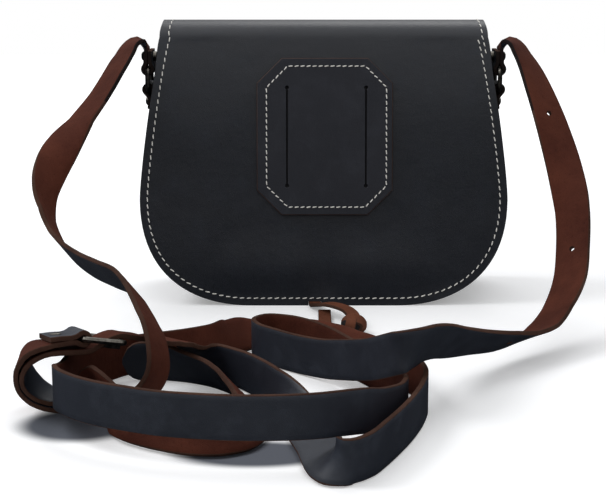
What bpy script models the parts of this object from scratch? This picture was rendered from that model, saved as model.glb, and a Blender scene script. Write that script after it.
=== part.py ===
"""Leather belt bag with a shoulder strap: saddle shape, flap, belt patch, strap rings and a prong buckle.

Metres, +Z up. The back panel, which carries the belt patch, faces -Y and the flap closes at +Y.
The origin lies on the table under the middle of the bag. The shoulder strap lies piled in front of the back.
"""
import math

import bmesh
import bpy
from mathutils import Matrix, Vector

# Bag body
BAG_HEIGHT = 0.172
PANEL_HALF_WIDTH = 0.118
TOP_HALF_WIDTH_SHARE = 0.868
BASE_HALF_LENGTH_SHARE = 0.398
WIDEST_HEIGHT_SHARE = 0.39
CORNER_FOOT_SHARE = 0.745
CORNER_SIDE_SHARE = 0.125
SIDE_LOWER_HANDLE_SHARE = 0.49
SIDE_UPPER_HANDLE_SHARE = 0.93
SIDE_UPPER_WIDTH_SHARE = 0.91
BASE_DEPTH = 0.078
TOP_DEPTH = 0.0265
LEATHER = 0.0026
GUSSET_LEATHER = 0.0022
GUSSET_INSET = 0.003
FRONT_DROP = 0.008
FIT = 0.0003

# Flap
FLAP_LEATHER = 0.0028
FLAP_TOP_RISE = 0.011
FLAP_HEM_HEIGHT = 0.007

# Belt patch
PATCH_WIDTH = 0.0868
PATCH_HEIGHT = 0.1
PATCH_CHAMFER = 0.0155
PATCH_CENTRE_HEIGHT = 0.1083
PATCH_LEATHER = 0.0024
SLIT_SPACING = 0.0502
SLIT_LENGTH = 0.064
SLIT_WIDTH = 0.0012
SLIT_HOLE_RADIUS = 0.0014

# Strap leather
STRAP_WIDTH = 0.022
STRAP_LEATHER = 0.0026
ROUTE_UNIT = 0.001
PILE_OFFSET = -0.0017

# Strap rings and their tabs
RING_WIRE_RADIUS = 0.0015
RING_INNER_WIDTH = 0.0236
RING_INNER_HEIGHT = 0.0101
RING_CORNER_RADIUS = 0.0022
RING_BAR_HEIGHT = 0.1362
TAB_WIDTH = 0.021
TAB_LEATHER = 0.0022
TAB_FOOT_DROP = 0.0125
RIVET_DROP = 0.0085
RIVET_SHAFT_RADIUS = 0.0015
RIVET_HEAD_RADIUS = 0.003
RIVET_HEAD_HEIGHT = 0.0014
SCREW_RISE = 0.0074
SCREW_SHAFT_RADIUS = 0.0018
SCREW_HEAD_RADIUS = 0.0032
SCREW_HEAD_HEIGHT = 0.0018
STRAP_END_RISE = 0.0115
PLY_GAP = 0.0003
FOLD_WRAP = math.radians(45)
MAIN_PLY_SHARE = 1.0
FOLD_NECK_SHARE = 1.3
DOME_RISE_SHARE = 0.6
DOME_WIDTH_SHARE = 0.85
DOME_TOP_SHARE = 0.45
FLAT_HEAD_SHARE = 0.25
SMALL_HEAD_SHARE = 1.0
CURL_START = math.radians(100)
CURL_SWEEP = math.radians(250)

# Buckle
BUCKLE_WIRE_RADIUS = 0.0015
BUCKLE_INNER_WIDTH = 0.0236
BUCKLE_INNER_LENGTH = 0.018
BUCKLE_CORNER_RADIUS = 0.0022
BUCKLE_BAR_X = -0.1275
BUCKLE_BAR_Y = -0.245
BUCKLE_BAR_Z = 0.0388
BUCKLE_SLOPE = math.radians(-12)
BUCKLE_TURN = math.radians(25)
BUCKLE_ROLL = math.radians(-9)
PRONG_WIRE_RADIUS = 0.0013
PRONG_SLOT_WIDTH = 0.0042
PRONG_OVERHANG = 0.0016
PRONG_SLOT_RUN = 0.0125
FOLD_SLOT_RUN = 0.011
BUCKLE_SCREW_RUN = 0.0115
BUCKLE_END_RUN = 0.017

# Closure
STUD_HEIGHT = 0.034
STUD_NECK_RADIUS = 0.0018
STUD_HEAD_RADIUS = 0.005
STUD_HEAD_HEIGHT = 0.0014
STUD_BALL_RADIUS = 0.0034
THONG_WIDTH = 0.008
THONG_LEATHER = 0.0021
KNOT_WIDTH = 0.017
KNOT_LENGTH = 0.019
KNOT_HEIGHT = 0.0105
KNOT_X = 0.0165
KNOT_Y = -0.1045

# Drawing quality
CORNER_STEPS = 10
SIDE_STEPS = 8
ARC_STEPS = 8
ROUND_SIDES = 24
WIRE_ROUNDNESS = 2
ROUTE_STEP = 0.005
TWIST_STEP = math.radians(9)
OVERRUN = 0.004

LEAN = (BASE_DEPTH - TOP_DEPTH) / 2 / BAG_HEIGHT
TOTAL_DEPTH = BASE_DEPTH + FIT + FLAP_LEATHER
BACK_Y = -TOTAL_DEPTH / 2
FRONT_Y = BACK_Y + BASE_DEPTH
MIDDLE_Y = (BACK_Y + FRONT_Y) / 2


def clear_scene():
    for item in list(bpy.data.objects):
        bpy.data.objects.remove(item, do_unlink=True)


def new_collection(name):
    collection = bpy.data.collections.new(name)
    bpy.context.scene.collection.children.link(collection)
    return collection


def material(name, colour, roughness, metallic=0.0):
    made = bpy.data.materials.new(name)
    made.use_nodes = True
    shader = made.node_tree.nodes["Principled BSDF"]
    shader.inputs["Base Color"].default_value = (*colour, 1.0)
    shader.inputs["Roughness"].default_value = roughness
    shader.inputs["Metallic"].default_value = metallic
    made.diffuse_color = (*colour, 1.0)
    return made


NAVY_LEATHER = (0.018, 0.021, 0.028)
BROWN_LEATHER = (0.16, 0.075, 0.05)
GUNMETAL = (0.16, 0.15, 0.13)


def finish(mesh_object, name, colour, roughness, metallic=0.0, smooth=False):
    """Names an object and its mesh, and gives it a material of its own."""
    mesh_object.name = name
    mesh_object.data.name = name
    mesh_object.data.materials.clear()
    mesh_object.data.materials.append(material(name + "_surface", colour, roughness, metallic))
    if smooth:
        mesh_object.data.shade_smooth()
        mesh_object.data.set_sharp_from_angle(angle=math.radians(40))
    return mesh_object


def object_from_bmesh(name, mesh_builder, collection):
    bmesh.ops.recalc_face_normals(mesh_builder, faces=mesh_builder.faces)
    data = bpy.data.meshes.new(name)
    mesh_builder.to_mesh(data)
    mesh_builder.free()
    made = bpy.data.objects.new(name, data)
    collection.objects.link(made)
    return made


def mesh_from_curve(curve_object, collection):
    """Turns a curve object into a closed mesh object and removes the curve."""
    bpy.context.view_layer.update()
    evaluated = curve_object.evaluated_get(bpy.context.evaluated_depsgraph_get())
    data = bpy.data.meshes.new_from_object(evaluated)
    builder = bmesh.new()
    builder.from_mesh(data)
    bmesh.ops.remove_doubles(builder, verts=builder.verts, dist=FIT / 30)
    builder.to_mesh(data)
    builder.free()
    made = bpy.data.objects.new(curve_object.name, data)
    made.matrix_world = curve_object.matrix_world
    collection.objects.link(made)
    bpy.data.objects.remove(curve_object, do_unlink=True)
    return made


def cubic(first, first_handle, last_handle, last, steps):
    """Points of one cubic curve, the first point left out."""
    points = []
    for step in range(1, steps + 1):
        t = step / steps
        weights = ((1 - t) ** 3, 3 * t * (1 - t) ** 2, 3 * t * t * (1 - t), t ** 3)
        x = sum(w * p[0] for w, p in zip(weights, (first, first_handle, last_handle, last)))
        z = sum(w * p[1] for w, p in zip(weights, (first, first_handle, last_handle, last)))
        points.append((x, z))
    return points


def half_outline(inset=0.0):
    """Right half of the saddle outline as (half width, height), from the base up to the top."""
    half = PANEL_HALF_WIDTH - inset
    base = (PANEL_HALF_WIDTH * BASE_HALF_LENGTH_SHARE, inset)
    widest = (half, BAG_HEIGHT * WIDEST_HEIGHT_SHARE)
    top = (PANEL_HALF_WIDTH * TOP_HALF_WIDTH_SHARE - inset, BAG_HEIGHT)
    foot_handle = (PANEL_HALF_WIDTH * CORNER_FOOT_SHARE, inset)
    side_handle = (half, BAG_HEIGHT * CORNER_SIDE_SHARE + inset)
    lower_handle = (half, BAG_HEIGHT * SIDE_LOWER_HANDLE_SHARE)
    upper_handle = (PANEL_HALF_WIDTH * SIDE_UPPER_WIDTH_SHARE - inset, BAG_HEIGHT * SIDE_UPPER_HANDLE_SHARE)
    points = [base]
    points += cubic(base, foot_handle, side_handle, widest, CORNER_STEPS)
    points += cubic(widest, lower_handle, upper_handle, top, SIDE_STEPS)
    return points


def width_at(height, inset=0.0):
    """Half width of the outline at a height, read off the outline."""
    points = half_outline(inset)
    for low, high in zip(points, points[1:]):
        if low[1] <= height <= high[1]:
            share = (height - low[1]) / max(high[1] - low[1], FIT / 30)
            return low[0] + share * (high[0] - low[0])
    return points[-1][0]


def back_outer(height):
    return BACK_Y + LEAN * height


def front_outer(height):
    return FRONT_Y - LEAN * height


def sheet_from_rows(name, rows, thickness_vectors, collection):
    """A closed sheet from rows of two edge points, each thickened along its own vector."""
    builder = bmesh.new()
    near = []
    far = []
    for (left, right), (left_push, right_push) in zip(rows, thickness_vectors):
        near.append((builder.verts.new(left), builder.verts.new(right)))
        far.append((builder.verts.new(Vector(left) + left_push), builder.verts.new(Vector(right) + right_push)))
    for index in range(len(rows) - 1):
        after = index + 1
        rising = (near[index][0].co - near[after][1].co).length
        falling = (near[index][1].co - near[after][0].co).length
        for side in (near, far):
            if rising < falling:
                builder.faces.new((side[index][0], side[index][1], side[after][1]))
                builder.faces.new((side[index][0], side[after][1], side[after][0]))
            else:
                builder.faces.new((side[index][0], side[index][1], side[after][0]))
                builder.faces.new((side[index][1], side[after][1], side[after][0]))
        builder.faces.new((near[index][0], near[after][0], far[after][0], far[index][0]))
        builder.faces.new((near[index][1], far[index][1], far[after][1], near[after][1]))
    builder.faces.new((near[0][0], far[0][0], far[0][1], near[0][1]))
    builder.faces.new((near[-1][0], near[-1][1], far[-1][1], far[-1][0]))
    return object_from_bmesh(name, builder, collection)


def add_cutter(target, cutter, cutters, operation="DIFFERENCE"):
    cutters.objects.link(cutter)
    cutter.hide_render = True
    cutter.display_type = "WIRE"
    cut = target.modifiers.new(cutter.name, "BOOLEAN")
    cut.operation = operation
    cut.object = cutter
    cut.solver = "EXACT"


def cylinder_mesh(radius, length, sides=ROUND_SIDES):
    """A closed cylinder along X, centred on its origin."""
    builder = bmesh.new()
    turn = Matrix.Rotation(math.pi / 2, 4, "Y")
    bmesh.ops.create_cone(
        builder, cap_ends=True, segments=sides, radius1=radius, radius2=radius, depth=length, matrix=turn
    )
    data = bpy.data.meshes.new("cylinder")
    builder.to_mesh(data)
    builder.free()
    return data


def box_mesh(size):
    builder = bmesh.new()
    bmesh.ops.create_cube(builder, size=1.0, matrix=Matrix.Diagonal((*size, 1.0)))
    data = bpy.data.meshes.new("box")
    builder.to_mesh(data)
    builder.free()
    return data


def make_panel(name, outer_y, inward, height, collection):
    """A leaning panel whose base stays flat on the table: rows follow the outline."""
    outline = [point for point in half_outline() if point[1] <= height]
    if outline[-1][1] < height:
        outline.append((width_at(height), height))
    rows = []
    pushes = []
    for half, z in outline:
        y = outer_y(z)
        rows.append(((-half, y, z), (half, y, z)))
        push = Vector((0, inward * LEATHER, 0))
        pushes.append((push, push))
    panel = sheet_from_rows(name, rows, pushes, collection)
    return finish(panel, name, NAVY_LEATHER, 0.5)


def make_gusset(collection):
    """The strip between the panels: up the left side, under the base and up the right side."""
    half = half_outline(GUSSET_INSET)
    top_height = BAG_HEIGHT - FRONT_DROP - FIT
    right = [point for point in half if point[1] < top_height]
    right.append((width_at(top_height, GUSSET_INSET), top_height))
    path = [(-x, z) for x, z in reversed(right)] + right
    rows = []
    pushes = []
    for index, (x, z) in enumerate(path):
        before = path[max(index - 1, 0)]
        after = path[min(index + 1, len(path) - 1)]
        along = Vector((after[0] - before[0], 0, after[1] - before[1])).normalized()
        push = Vector((-along.z, 0, along.x)) * GUSSET_LEATHER
        back = back_outer(z) + LEATHER + FIT
        front = front_outer(z) - LEATHER - FIT
        rise = Vector((0, LEAN * push.z, 0))
        rows.append(((x, back, z), (x, front, z)))
        pushes.append((push + rise, push - rise))
    gusset = sheet_from_rows("gusset", rows, pushes, collection)
    return finish(gusset, "gusset", NAVY_LEATHER, 0.5)


def flap_path():
    """Inner line of the flap as (y, z) with its outward direction, from the back fold to the front hem."""
    gap = FIT
    start_z = BAG_HEIGHT + FIT
    back_y = back_outer(start_z) + LEATHER
    front_top = BAG_HEIGHT - FRONT_DROP / 2
    front_y = front_outer(front_top) + gap
    centre_y = (back_y + front_y) / 2
    reach = (front_y - back_y) / 2
    rise = FLAP_TOP_RISE - FLAP_LEATHER
    points = []
    for step in range(2 * ARC_STEPS + 1):
        angle = math.pi - math.pi * step / (2 * ARC_STEPS)
        base = start_z + (front_top - start_z) * step / (2 * ARC_STEPS)
        points.append((centre_y + reach * math.cos(angle), base + rise * math.sin(angle)))
    heights = [z for x, z in reversed(half_outline()) if FLAP_HEM_HEIGHT < z < front_top - FIT]
    heights.append(FLAP_HEM_HEIGHT)
    for z in heights:
        points.append((front_outer(z) + gap, z))
    return points


def make_flap(collection):
    points = flap_path()
    rows = []
    pushes = []
    pivot = Vector((0, back_outer(BAG_HEIGHT), BAG_HEIGHT + FIT))
    for index, (y, z) in enumerate(points):
        before = points[max(index - 1, 0)]
        after = points[min(index + 1, len(points) - 1)]
        along = Vector((0, after[0] - before[0], after[1] - before[1])).normalized()
        outward = Vector((0, -along.z, along.y))
        if index == 0:
            outward = Vector((0, -1, 0))
        if index == len(points) - 1:
            outward = Vector((0, 1, 0))
        half = width_at(min(z, BAG_HEIGHT))
        rows.append(((-half, y, z), (half, y, z)))
        pushes.append((outward * FLAP_LEATHER, outward * FLAP_LEATHER))
    flap = sheet_from_rows("flap", rows, pushes, collection)
    flap.data.transform(Matrix.Translation(-pivot))
    flap.location = pivot
    return finish(flap, "flap", NAVY_LEATHER, 0.5)


def make_patch(collection, cutters):
    """The octagonal patch on the back panel, with two upright belt slits."""
    half_width = PATCH_WIDTH / 2
    half_height = PATCH_HEIGHT / 2
    corners = [
        (half_width - PATCH_CHAMFER, -half_height),
        (half_width, -half_height + PATCH_CHAMFER),
        (half_width, half_height - PATCH_CHAMFER),
        (half_width - PATCH_CHAMFER, half_height),
    ]
    outline = corners + [(-x, z) for x, z in reversed(corners)]
    builder = bmesh.new()
    front = [builder.verts.new((x, -PATCH_LEATHER, z)) for x, z in outline]
    back = [builder.verts.new((x, 0, z)) for x, z in outline]
    builder.faces.new(front)
    builder.faces.new(list(reversed(back)))
    for index in range(len(outline)):
        after = (index + 1) % len(outline)
        builder.faces.new((front[index], back[index], back[after], front[after]))
    patch = object_from_bmesh("belt_patch", builder, collection)
    for side in (-1, 1):
        slit = bpy.data.objects.new("slit_cutter", box_mesh((SLIT_WIDTH, PATCH_LEATHER + OVERRUN, SLIT_LENGTH)))
        slit.location = (side * SLIT_SPACING / 2, -PATCH_LEATHER / 2, 0)
        slit.parent = patch
        add_cutter(patch, slit, cutters)
        for end in (-1, 1):
            data = cylinder_mesh(SLIT_HOLE_RADIUS, PATCH_LEATHER + OVERRUN, ROUND_SIDES // 2)
            hole = bpy.data.objects.new("slit_end_cutter", data)
            hole.rotation_euler = (0, 0, math.pi / 2)
            hole.location = (side * SLIT_SPACING / 2, -PATCH_LEATHER / 2, end * SLIT_LENGTH / 2)
            hole.parent = patch
            add_cutter(patch, hole, cutters)
    tilt = math.atan(LEAN)
    away = FIT / math.cos(tilt)
    patch.location = (0, back_outer(PATCH_CENTRE_HEIGHT) - away, PATCH_CENTRE_HEIGHT)
    patch.rotation_euler = (-tilt, 0, 0)
    return finish(patch, "belt_patch", NAVY_LEATHER, 0.5)


def rounded_loop(inner_width, inner_length, corner_radius, wire_radius):
    """Centre line of a rounded rectangular wire loop: (across, along), the first bar's centre at zero."""
    half = inner_width / 2 + wire_radius
    length = inner_length + 2 * wire_radius
    centres = [
        (half - corner_radius, corner_radius, -90),
        (half - corner_radius, length - corner_radius, 0),
        (-half + corner_radius, length - corner_radius, 90),
        (-half + corner_radius, corner_radius, 180),
    ]
    points = []
    for across, along, start in centres:
        for step in range(ARC_STEPS // 2 + 1):
            angle = math.radians(start + 90 * step / (ARC_STEPS // 2))
            points.append((across + corner_radius * math.cos(angle), along + corner_radius * math.sin(angle)))
    return points


def wire_object(name, points, radius, collection, cyclic=False):
    """A round wire along a list of points, as a closed mesh."""
    curve = bpy.data.curves.new(name, "CURVE")
    curve.dimensions = "3D"
    curve.bevel_depth = radius
    curve.bevel_resolution = WIRE_ROUNDNESS
    curve.use_fill_caps = not cyclic
    spline = curve.splines.new("POLY")
    spline.points.add(len(points) - 1)
    for place, point in zip(spline.points, points):
        place.co = (*point, 1.0)
    spline.use_cyclic_u = cyclic
    holder = bpy.data.objects.new(name, curve)
    collection.objects.link(holder)
    return mesh_from_curve(holder, collection)


def tab_line(wall_x):
    """Centre line of a folded ring tab in its X-Z plane, for the right side."""
    loop = RING_WIRE_RADIUS + FIT + TAB_LEATHER / 2
    first = wall_x + FIT + TAB_LEATHER / 2
    points = [(first, RING_BAR_HEIGHT - TAB_FOOT_DROP)]
    for step in range(ARC_STEPS + 1):
        angle = math.pi - (math.pi + FOLD_WRAP) * step / ARC_STEPS
        points.append((first + loop + loop * math.cos(angle), RING_BAR_HEIGHT + loop * math.sin(angle)))
    second = first + TAB_LEATHER + FIT
    points.append((second, RING_BAR_HEIGHT - RIVET_DROP + RIVET_HEAD_RADIUS))
    points.append((second, RING_BAR_HEIGHT - TAB_FOOT_DROP))
    return points


def band_from_line(name, points, width, thickness, collection):
    """A band of leather that follows a line in the X-Z plane, its width along Y about the bag's middle."""
    rows = []
    pushes = []
    for index, (x, z) in enumerate(points):
        before = points[max(index - 1, 0)]
        after = points[min(index + 1, len(points) - 1)]
        along = Vector((after[0] - before[0], 0, after[1] - before[1])).normalized()
        side = Vector((-along.z, 0, along.x))
        start = Vector((x, MIDDLE_Y, z)) - side * (thickness / 2)
        across = Vector((0, width / 2, 0))
        rows.append((start - across, start + across))
        pushes.append((side * thickness, side * thickness))
    return sheet_from_rows(name, rows, pushes, collection)


def turned(name, profile, collection):
    """A turned solid about X from (x, radius) pairs that start and end on the axis."""
    builder = bmesh.new()
    rings = []
    for x, distance in profile:
        if distance == 0.0:
            rings.append([builder.verts.new((x, 0, 0))])
            continue
        ring = []
        for side in range(ROUND_SIDES):
            angle = 2 * math.pi * side / ROUND_SIDES
            ring.append(builder.verts.new((x, distance * math.cos(angle), distance * math.sin(angle))))
        rings.append(ring)
    for lower, upper in zip(rings, rings[1:]):
        for side in range(ROUND_SIDES):
            after = (side + 1) % ROUND_SIDES
            if len(lower) == 1:
                builder.faces.new((lower[0], upper[side], upper[after]))
            elif len(upper) == 1:
                builder.faces.new((lower[side], upper[0], lower[after]))
            else:
                builder.faces.new((lower[side], upper[side], upper[after], lower[after]))
    return object_from_bmesh(name, builder, collection)


def fastener(name, radius, head_radius, head_height, near_x, far_x, collection):
    """A fastener along X between two faces: a flat head behind and a low dome in front."""
    profile = [
        (near_x - head_height, 0.0),
        (near_x - head_height, head_radius),
        (near_x, head_radius),
        (near_x, radius),
        (far_x, radius),
        (far_x, head_radius),
        (far_x + head_height * DOME_RISE_SHARE, head_radius * DOME_WIDTH_SHARE),
        (far_x + head_height, head_radius * DOME_TOP_SHARE),
        (far_x + head_height, 0.0),
    ]
    return turned(name, profile, collection)


def hole_cutter(name, radius, length, place):
    cutter = bpy.data.objects.new(name, cylinder_mesh(radius, length, ROUND_SIDES // 2))
    cutter.location = place
    return cutter


# Strap routes: hand-chosen points in millimetres, each with the direction of the strap's width.
LONG_FREE_ROUTE = [
    (117.3, -1.9, 163.4, 0.03, 1, 0),
    (119.7, -3.1, 165.7, 0.1, 1, 0),
    (122.6, -5.2, 166.1, 0.2, 0.98, 0),
    (125.7, -8.8, 164.2, 0.35, 0.94, 0),
    (129, -14, 159, 0.48, 0.87, 0),
    (133, -21, 151, 0.62, 0.78, 0),
    (138, -33, 137, 0.8, 0.6, 0),
    (145, -49, 114, 0.95, 0.3, 0),
    (150, -67, 91, 0.99, -0.1, 0),
    (152, -83, 72, 0.8, -0.58, 0.1),
    (150, -101, 51, 0.75, -0.6, 0.2),
    (146, -117, 37, 0.72, -0.65, 0.2),
    (136, -135, 23.5, 0.67, -0.67, 0.32),
    (126, -150, 17, 0.75, -0.6, 0.3),
    (114, -163, 14.5, 0.72, -0.55, 0.45),
    (101, -176, 16, 0.64, -0.47, 0.6),
    (85, -192, 20, 0.58, -0.4, 0.7),
    (68, -218, 27.8, 0.49, -0.29, 0.81),
    (60, -232, 32.5, 0.43, -0.22, 0.87),
    (53, -244, 35.3, 0.36, -0.16, 0.92),
    (45.5, -255, 36.2, 0.25, -0.1, 0.96),
    (38, -259, 35.2, 0.1, -0.03, 0.99),
    (31, -254, 31.7, 0, 0, 1),
    (24, -244, 26.8, 0, 0, 1),
    (17, -229.5, 21.8, 0, 0, 1),
    (9, -213, 16.8, 0, 0, 1),
    (0, -199, 13, 0, 0, 1),
    (-13, -186.5, 11.6, 0, 0, 1),
    (-27, -173, 11.5, 0, 0, 1),
    (-37, -161, 11.5, 0, 0, 1),
    (-39.5, -150, 11.5, 0, 0, 1),
    (-33, -142, 11.5, 0, 0, 1),
    (-21, -144, 11.5, 0, 0, 1),
    (-8, -154, 11.5, 0, 0, 1),
    (3, -169, 11.5, 0, 0, 1),
    (14, -190, 11.3, 0, 0, 1),
    (26, -212, 11.3, 0, 0, 1),
    (34, -230, 11.3, -0.08, 0, 1),
    (39, -247, 11.3, -0.1, 0, 1),
    (40, -260, 11.6, 0, 0, 1),
    (37, -272, 12.2, 0, 0, 1),
    (31.5, -286, 15, 0, 0, 1),
    (24, -301, 18.8, 0, 0, 1),
    (16, -314, 23.2, 0, 0, 1),
    (7, -322, 25, 0, 0, 1),
    (-3, -326, 25.2, 0, 0, 1),
    (-16, -328, 25, 0, 0, 1),
    (-30, -328, 24.7, 0, 0, 1),
    (-45, -326.5, 24.3, 0, 0, 1),
    (-63, -323, 24, 0, 0, 1),
    (-80, -319, 24, 0, 0, 1),
    (-94, -313, 24, 0, 0, 1),
    (-108, -306, 24, 0, 0, 1),
    (-120, -297, 24, 0, 0, 1),
    (-129, -287, 24, 0, 0, 1),
    (-133, -276, 22.6, 0, 0, 1),
    (-133.6, -266, 19.8, 0, 0, 1),
    (-133, -255.5, 17.9, 0, 0, 1),
    (-132, -243, 17.7, 0, 0, 1),
    (-131, -234, 18.2, 0, 0, 1),
    (-129.5, -226, 17, 0, 0, 1),
    (-126.7, -217, 14, 0, 0, 1),
    (-123, -208, 12, 0, 0, 1),
    (-116, -197, 11.4, 0, 0, 1),
    (-107, -187, 11.4, 0, 0, 1),
    (-94, -181, 11.4, 0, 0, 1),
    (-78, -174, 11.4, 0, 0.08, 1),
    (-62, -163, 10.6, 0, 0.3, 0.94),
    (-52, -144.5, 8.4, -0.38, 0.6, 0.72),
    (-37, -127, 6.4, -0.15, 0.88, 0.44),
    (-17.5, -125, 6.4, 0.2, 0.87, 0.45),
    (0, -137, 7, 0.5, 0.7, 0.52),
    (14, -156.5, 7.6, 0.62, 0.52, 0.58),
    (27, -180, 8.6, 0.55, 0.36, 0.7),
    (39, -204, 10.4, 0.32, 0.12, 0.92),
    (48, -226, 11.4, 0, 0, 1),
    (51, -246, 11.4, 0, 0, 1),
    (48, -266, 11.4, 0, 0, 1),
    (42, -287, 11.4, 0, 0, 1),
    (34, -308, 11.4, 0, 0, 1),
    (26, -326, 11.4, 0, 0, 1),
    (20.5, -337, 11.4, 0.03, 0, 1),
    (14.5, -344.5, 11.4, 0.12, 0, 0.99),
    (8, -348, 10.8, 0.3, 0.02, 0.95),
    (2.5, -345.5, 9.4, 0.52, 0.05, 0.85),
    (-0.2, -338, 7.7, 0.76, 0.12, 0.6),
    (-1.7, -328, 6.3, 0.88, 0.18, 0.4),
    (-4.3, -311, 6.2, 0.87, 0.24, 0.4),
    (-9, -293, 6.1, 0.8, 0.3, 0.5),
    (-13.7, -278.5, 7.5, 0.65, 0.3, 0.68),
    (-19, -263, 9.9, 0.37, 0.17, 0.91),
    (-25, -247, 11.3, 0.1, 0, 1),
    (-32, -232, 11.5, 0, 0, 1),
    (-41, -218, 11.6, 0, -0.05, 1),
    (-51, -207, 11.9, 0, -0.2, 0.98),
    (-59.5, -200.8, 13.4, 0, -0.4, 0.92),
    (-67, -201.8, 17, 0, -0.65, 0.76),
    (-74.5, -206, 23.2, 0.15, -0.9, 0.35),
    (-82, -213.5, 27.5, 0.45, -0.87, 0.1),
    (-88.5, -222, 30, 0.6, -0.78, 0.1),
    (-95.8, -229.5, 34, 0.53, -0.83, 0.12),
]
TAIL_ROUTE = [
    (-142, -252, 33, 0.35, -0.93, 0.13),
    (-147.3, -252.8, 30.8, 0.2, -0.98, 0.1),
    (-151, -252, 26.6, 0.1, -1, 0.05),
    (-152.2, -249.5, 21.4, 0, -1, 0),
    (-150.9, -246.5, 16.2, -0.1, -1, 0),
    (-147.5, -244.2, 11.2, -0.15, -1, 0),
    (-142.5, -242.6, 7.4, -0.1, -1, 0),
    (-136.3, -241.3, 5.4, 0, -1, 0),
    (-131, -241.3, 4.9, -0.05, -1, 0),
    (-126.5, -242.2, 5.8, -0.3, -0.95, 0.02),
    (-122, -244.6, 8.8, -0.55, -0.8, 0.2),
    (-118.2, -248.3, 12.8, -0.74, -0.5, 0.42),
    (-115.3, -253.2, 16.2, -0.66, -0.15, 0.72),
    (-113, -259.5, 18, -0.4, -0.05, 0.92),
    (-111, -266, 17.2, -0.15, 0, 1),
    (-108, -272, 15, 0, 0.05, 1),
    (-104.5, -278, 12.9, 0, 0.2, 0.98),
    (-101, -283.5, 10.6, 0, 0.42, 0.91),
    (-94, -290, 9.4, 0, 0.6, 0.8),
    (-80, -299, 8.6, 0, 0.7, 0.7),
    (-64, -306, 8.6, 0, 0.7, 0.7),
    (-51, -306.5, 8.6, -0.2, 0.66, 0.7),
    (-42, -301.5, 8.6, -0.5, 0.45, 0.7),
    (-37, -291, 8.6, -0.7, 0.1, 0.7),
    (-36, -277, 8.6, -0.72, -0.1, 0.68),
    (-39, -261, 8.6, -0.68, -0.3, 0.68),
    (-45, -243, 8.6, -0.5, -0.5, 0.68),
    (-53, -227, 8.9, -0.2, -0.67, 0.7),
    (-63, -214.5, 9.4, 0, -0.65, 0.76),
    (-76, -205, 10, 0, -0.45, 0.88),
    (-90, -198.5, 11.2, 0, -0.12, 0.99),
    (-101, -197.8, 11.4, 0, -0.05, 1),
    (-109.5, -198.3, 11.5, 0, 0, 1),
]
SHORT_FREE_ROUTE = [
    (-113.9, -1.9, 163.4, 0.03, -1, 0),
    (-116.3, -3.1, 165.7, 0.1, -1, 0),
    (-119.2, -5.2, 166.1, 0.2, -0.98, 0),
    (-122.3, -8.8, 164.2, 0.35, -0.94, 0),
    (-125.8, -15, 158.9, 0.46, -0.88, 0),
    (-130.5, -27, 150, 0.6, -0.78, 0.1),
    (-138, -39, 137, 0.7, -0.65, 0.2),
    (-149, -53, 122, 0.82, -0.5, 0.2),
    (-158, -66, 109, 0.9, -0.1, -0.1),
    (-164, -79, 97, 0.76, 0.45, -0.35),
    (-166.5, -91, 86, 0.5, 0.65, -0.48),
    (-164, -102, 72.5, 0.24, 0.75, -0.57),
    (-157, -114, 62, 0.25, 0.72, -0.6),
    (-148.4, -128, 56.8, 0.38, 0.57, -0.72),
    (-134.7, -148, 53.2, 0.49, 0.4, -0.78),
    (-121.5, -168, 53, 0.49, 0.39, -0.78),
    (-108.7, -188, 53.3, 0.5, 0.4, -0.77),
    (-98.1, -215, 50, 0.48, 0.45, -0.76),
    (-92, -232, 45.9, 0.42, 0.62, -0.67),
    (-88, -242, 41.9, 0.35, 0.77, -0.53),
    (-85.6, -248.7, 36.4, 0.34, 0.84, -0.43),
    (-84.4, -253, 30.6, 0.35, 0.85, -0.38),
    (-84.5, -255, 25, 0.35, 0.85, -0.35),
    (-86.4, -255.5, 19.6, 0.34, 0.85, -0.38),
    (-90, -254.7, 14.3, 0.32, 0.85, -0.41),
    (-95, -252, 9.7, 0.28, 0.9, -0.35),
    (-101.5, -247.3, 5.8, 0.2, 0.95, -0.2),
    (-110, -243.7, 2.7, 0.1, 0.99, -0.08),
    (-120, -242, 1.5, 0, 1, 0),
    (-129, -241.5, 1.4, 0, 1, 0),
    (-137, -241.5, 1.9, 0, 1, 0),
    (-144, -242.6, 4.3, 0.1, 1, 0),
    (-150, -244.2, 8.8, 0.15, 1, 0),
    (-154, -246.5, 15, 0.1, 1, 0),
    (-155.4, -249.5, 21.5, 0, 1, -0.03),
    (-154.2, -252, 28.4, -0.1, 1, -0.07),
    (-149.6, -253.2, 34.2, -0.25, 0.97, -0.12),
]


def route_pairs(rows):
    """Centre points and unit width directions of a route, in metres."""
    pairs = []
    for x, y, z, across_x, across_y, across_z in rows:
        place = Vector((x, y, z)) * ROUTE_UNIT + Vector((PILE_OFFSET, 0, 0))
        pairs.append((place, Vector((across_x, across_y, across_z)).normalized()))
    return pairs


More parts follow.
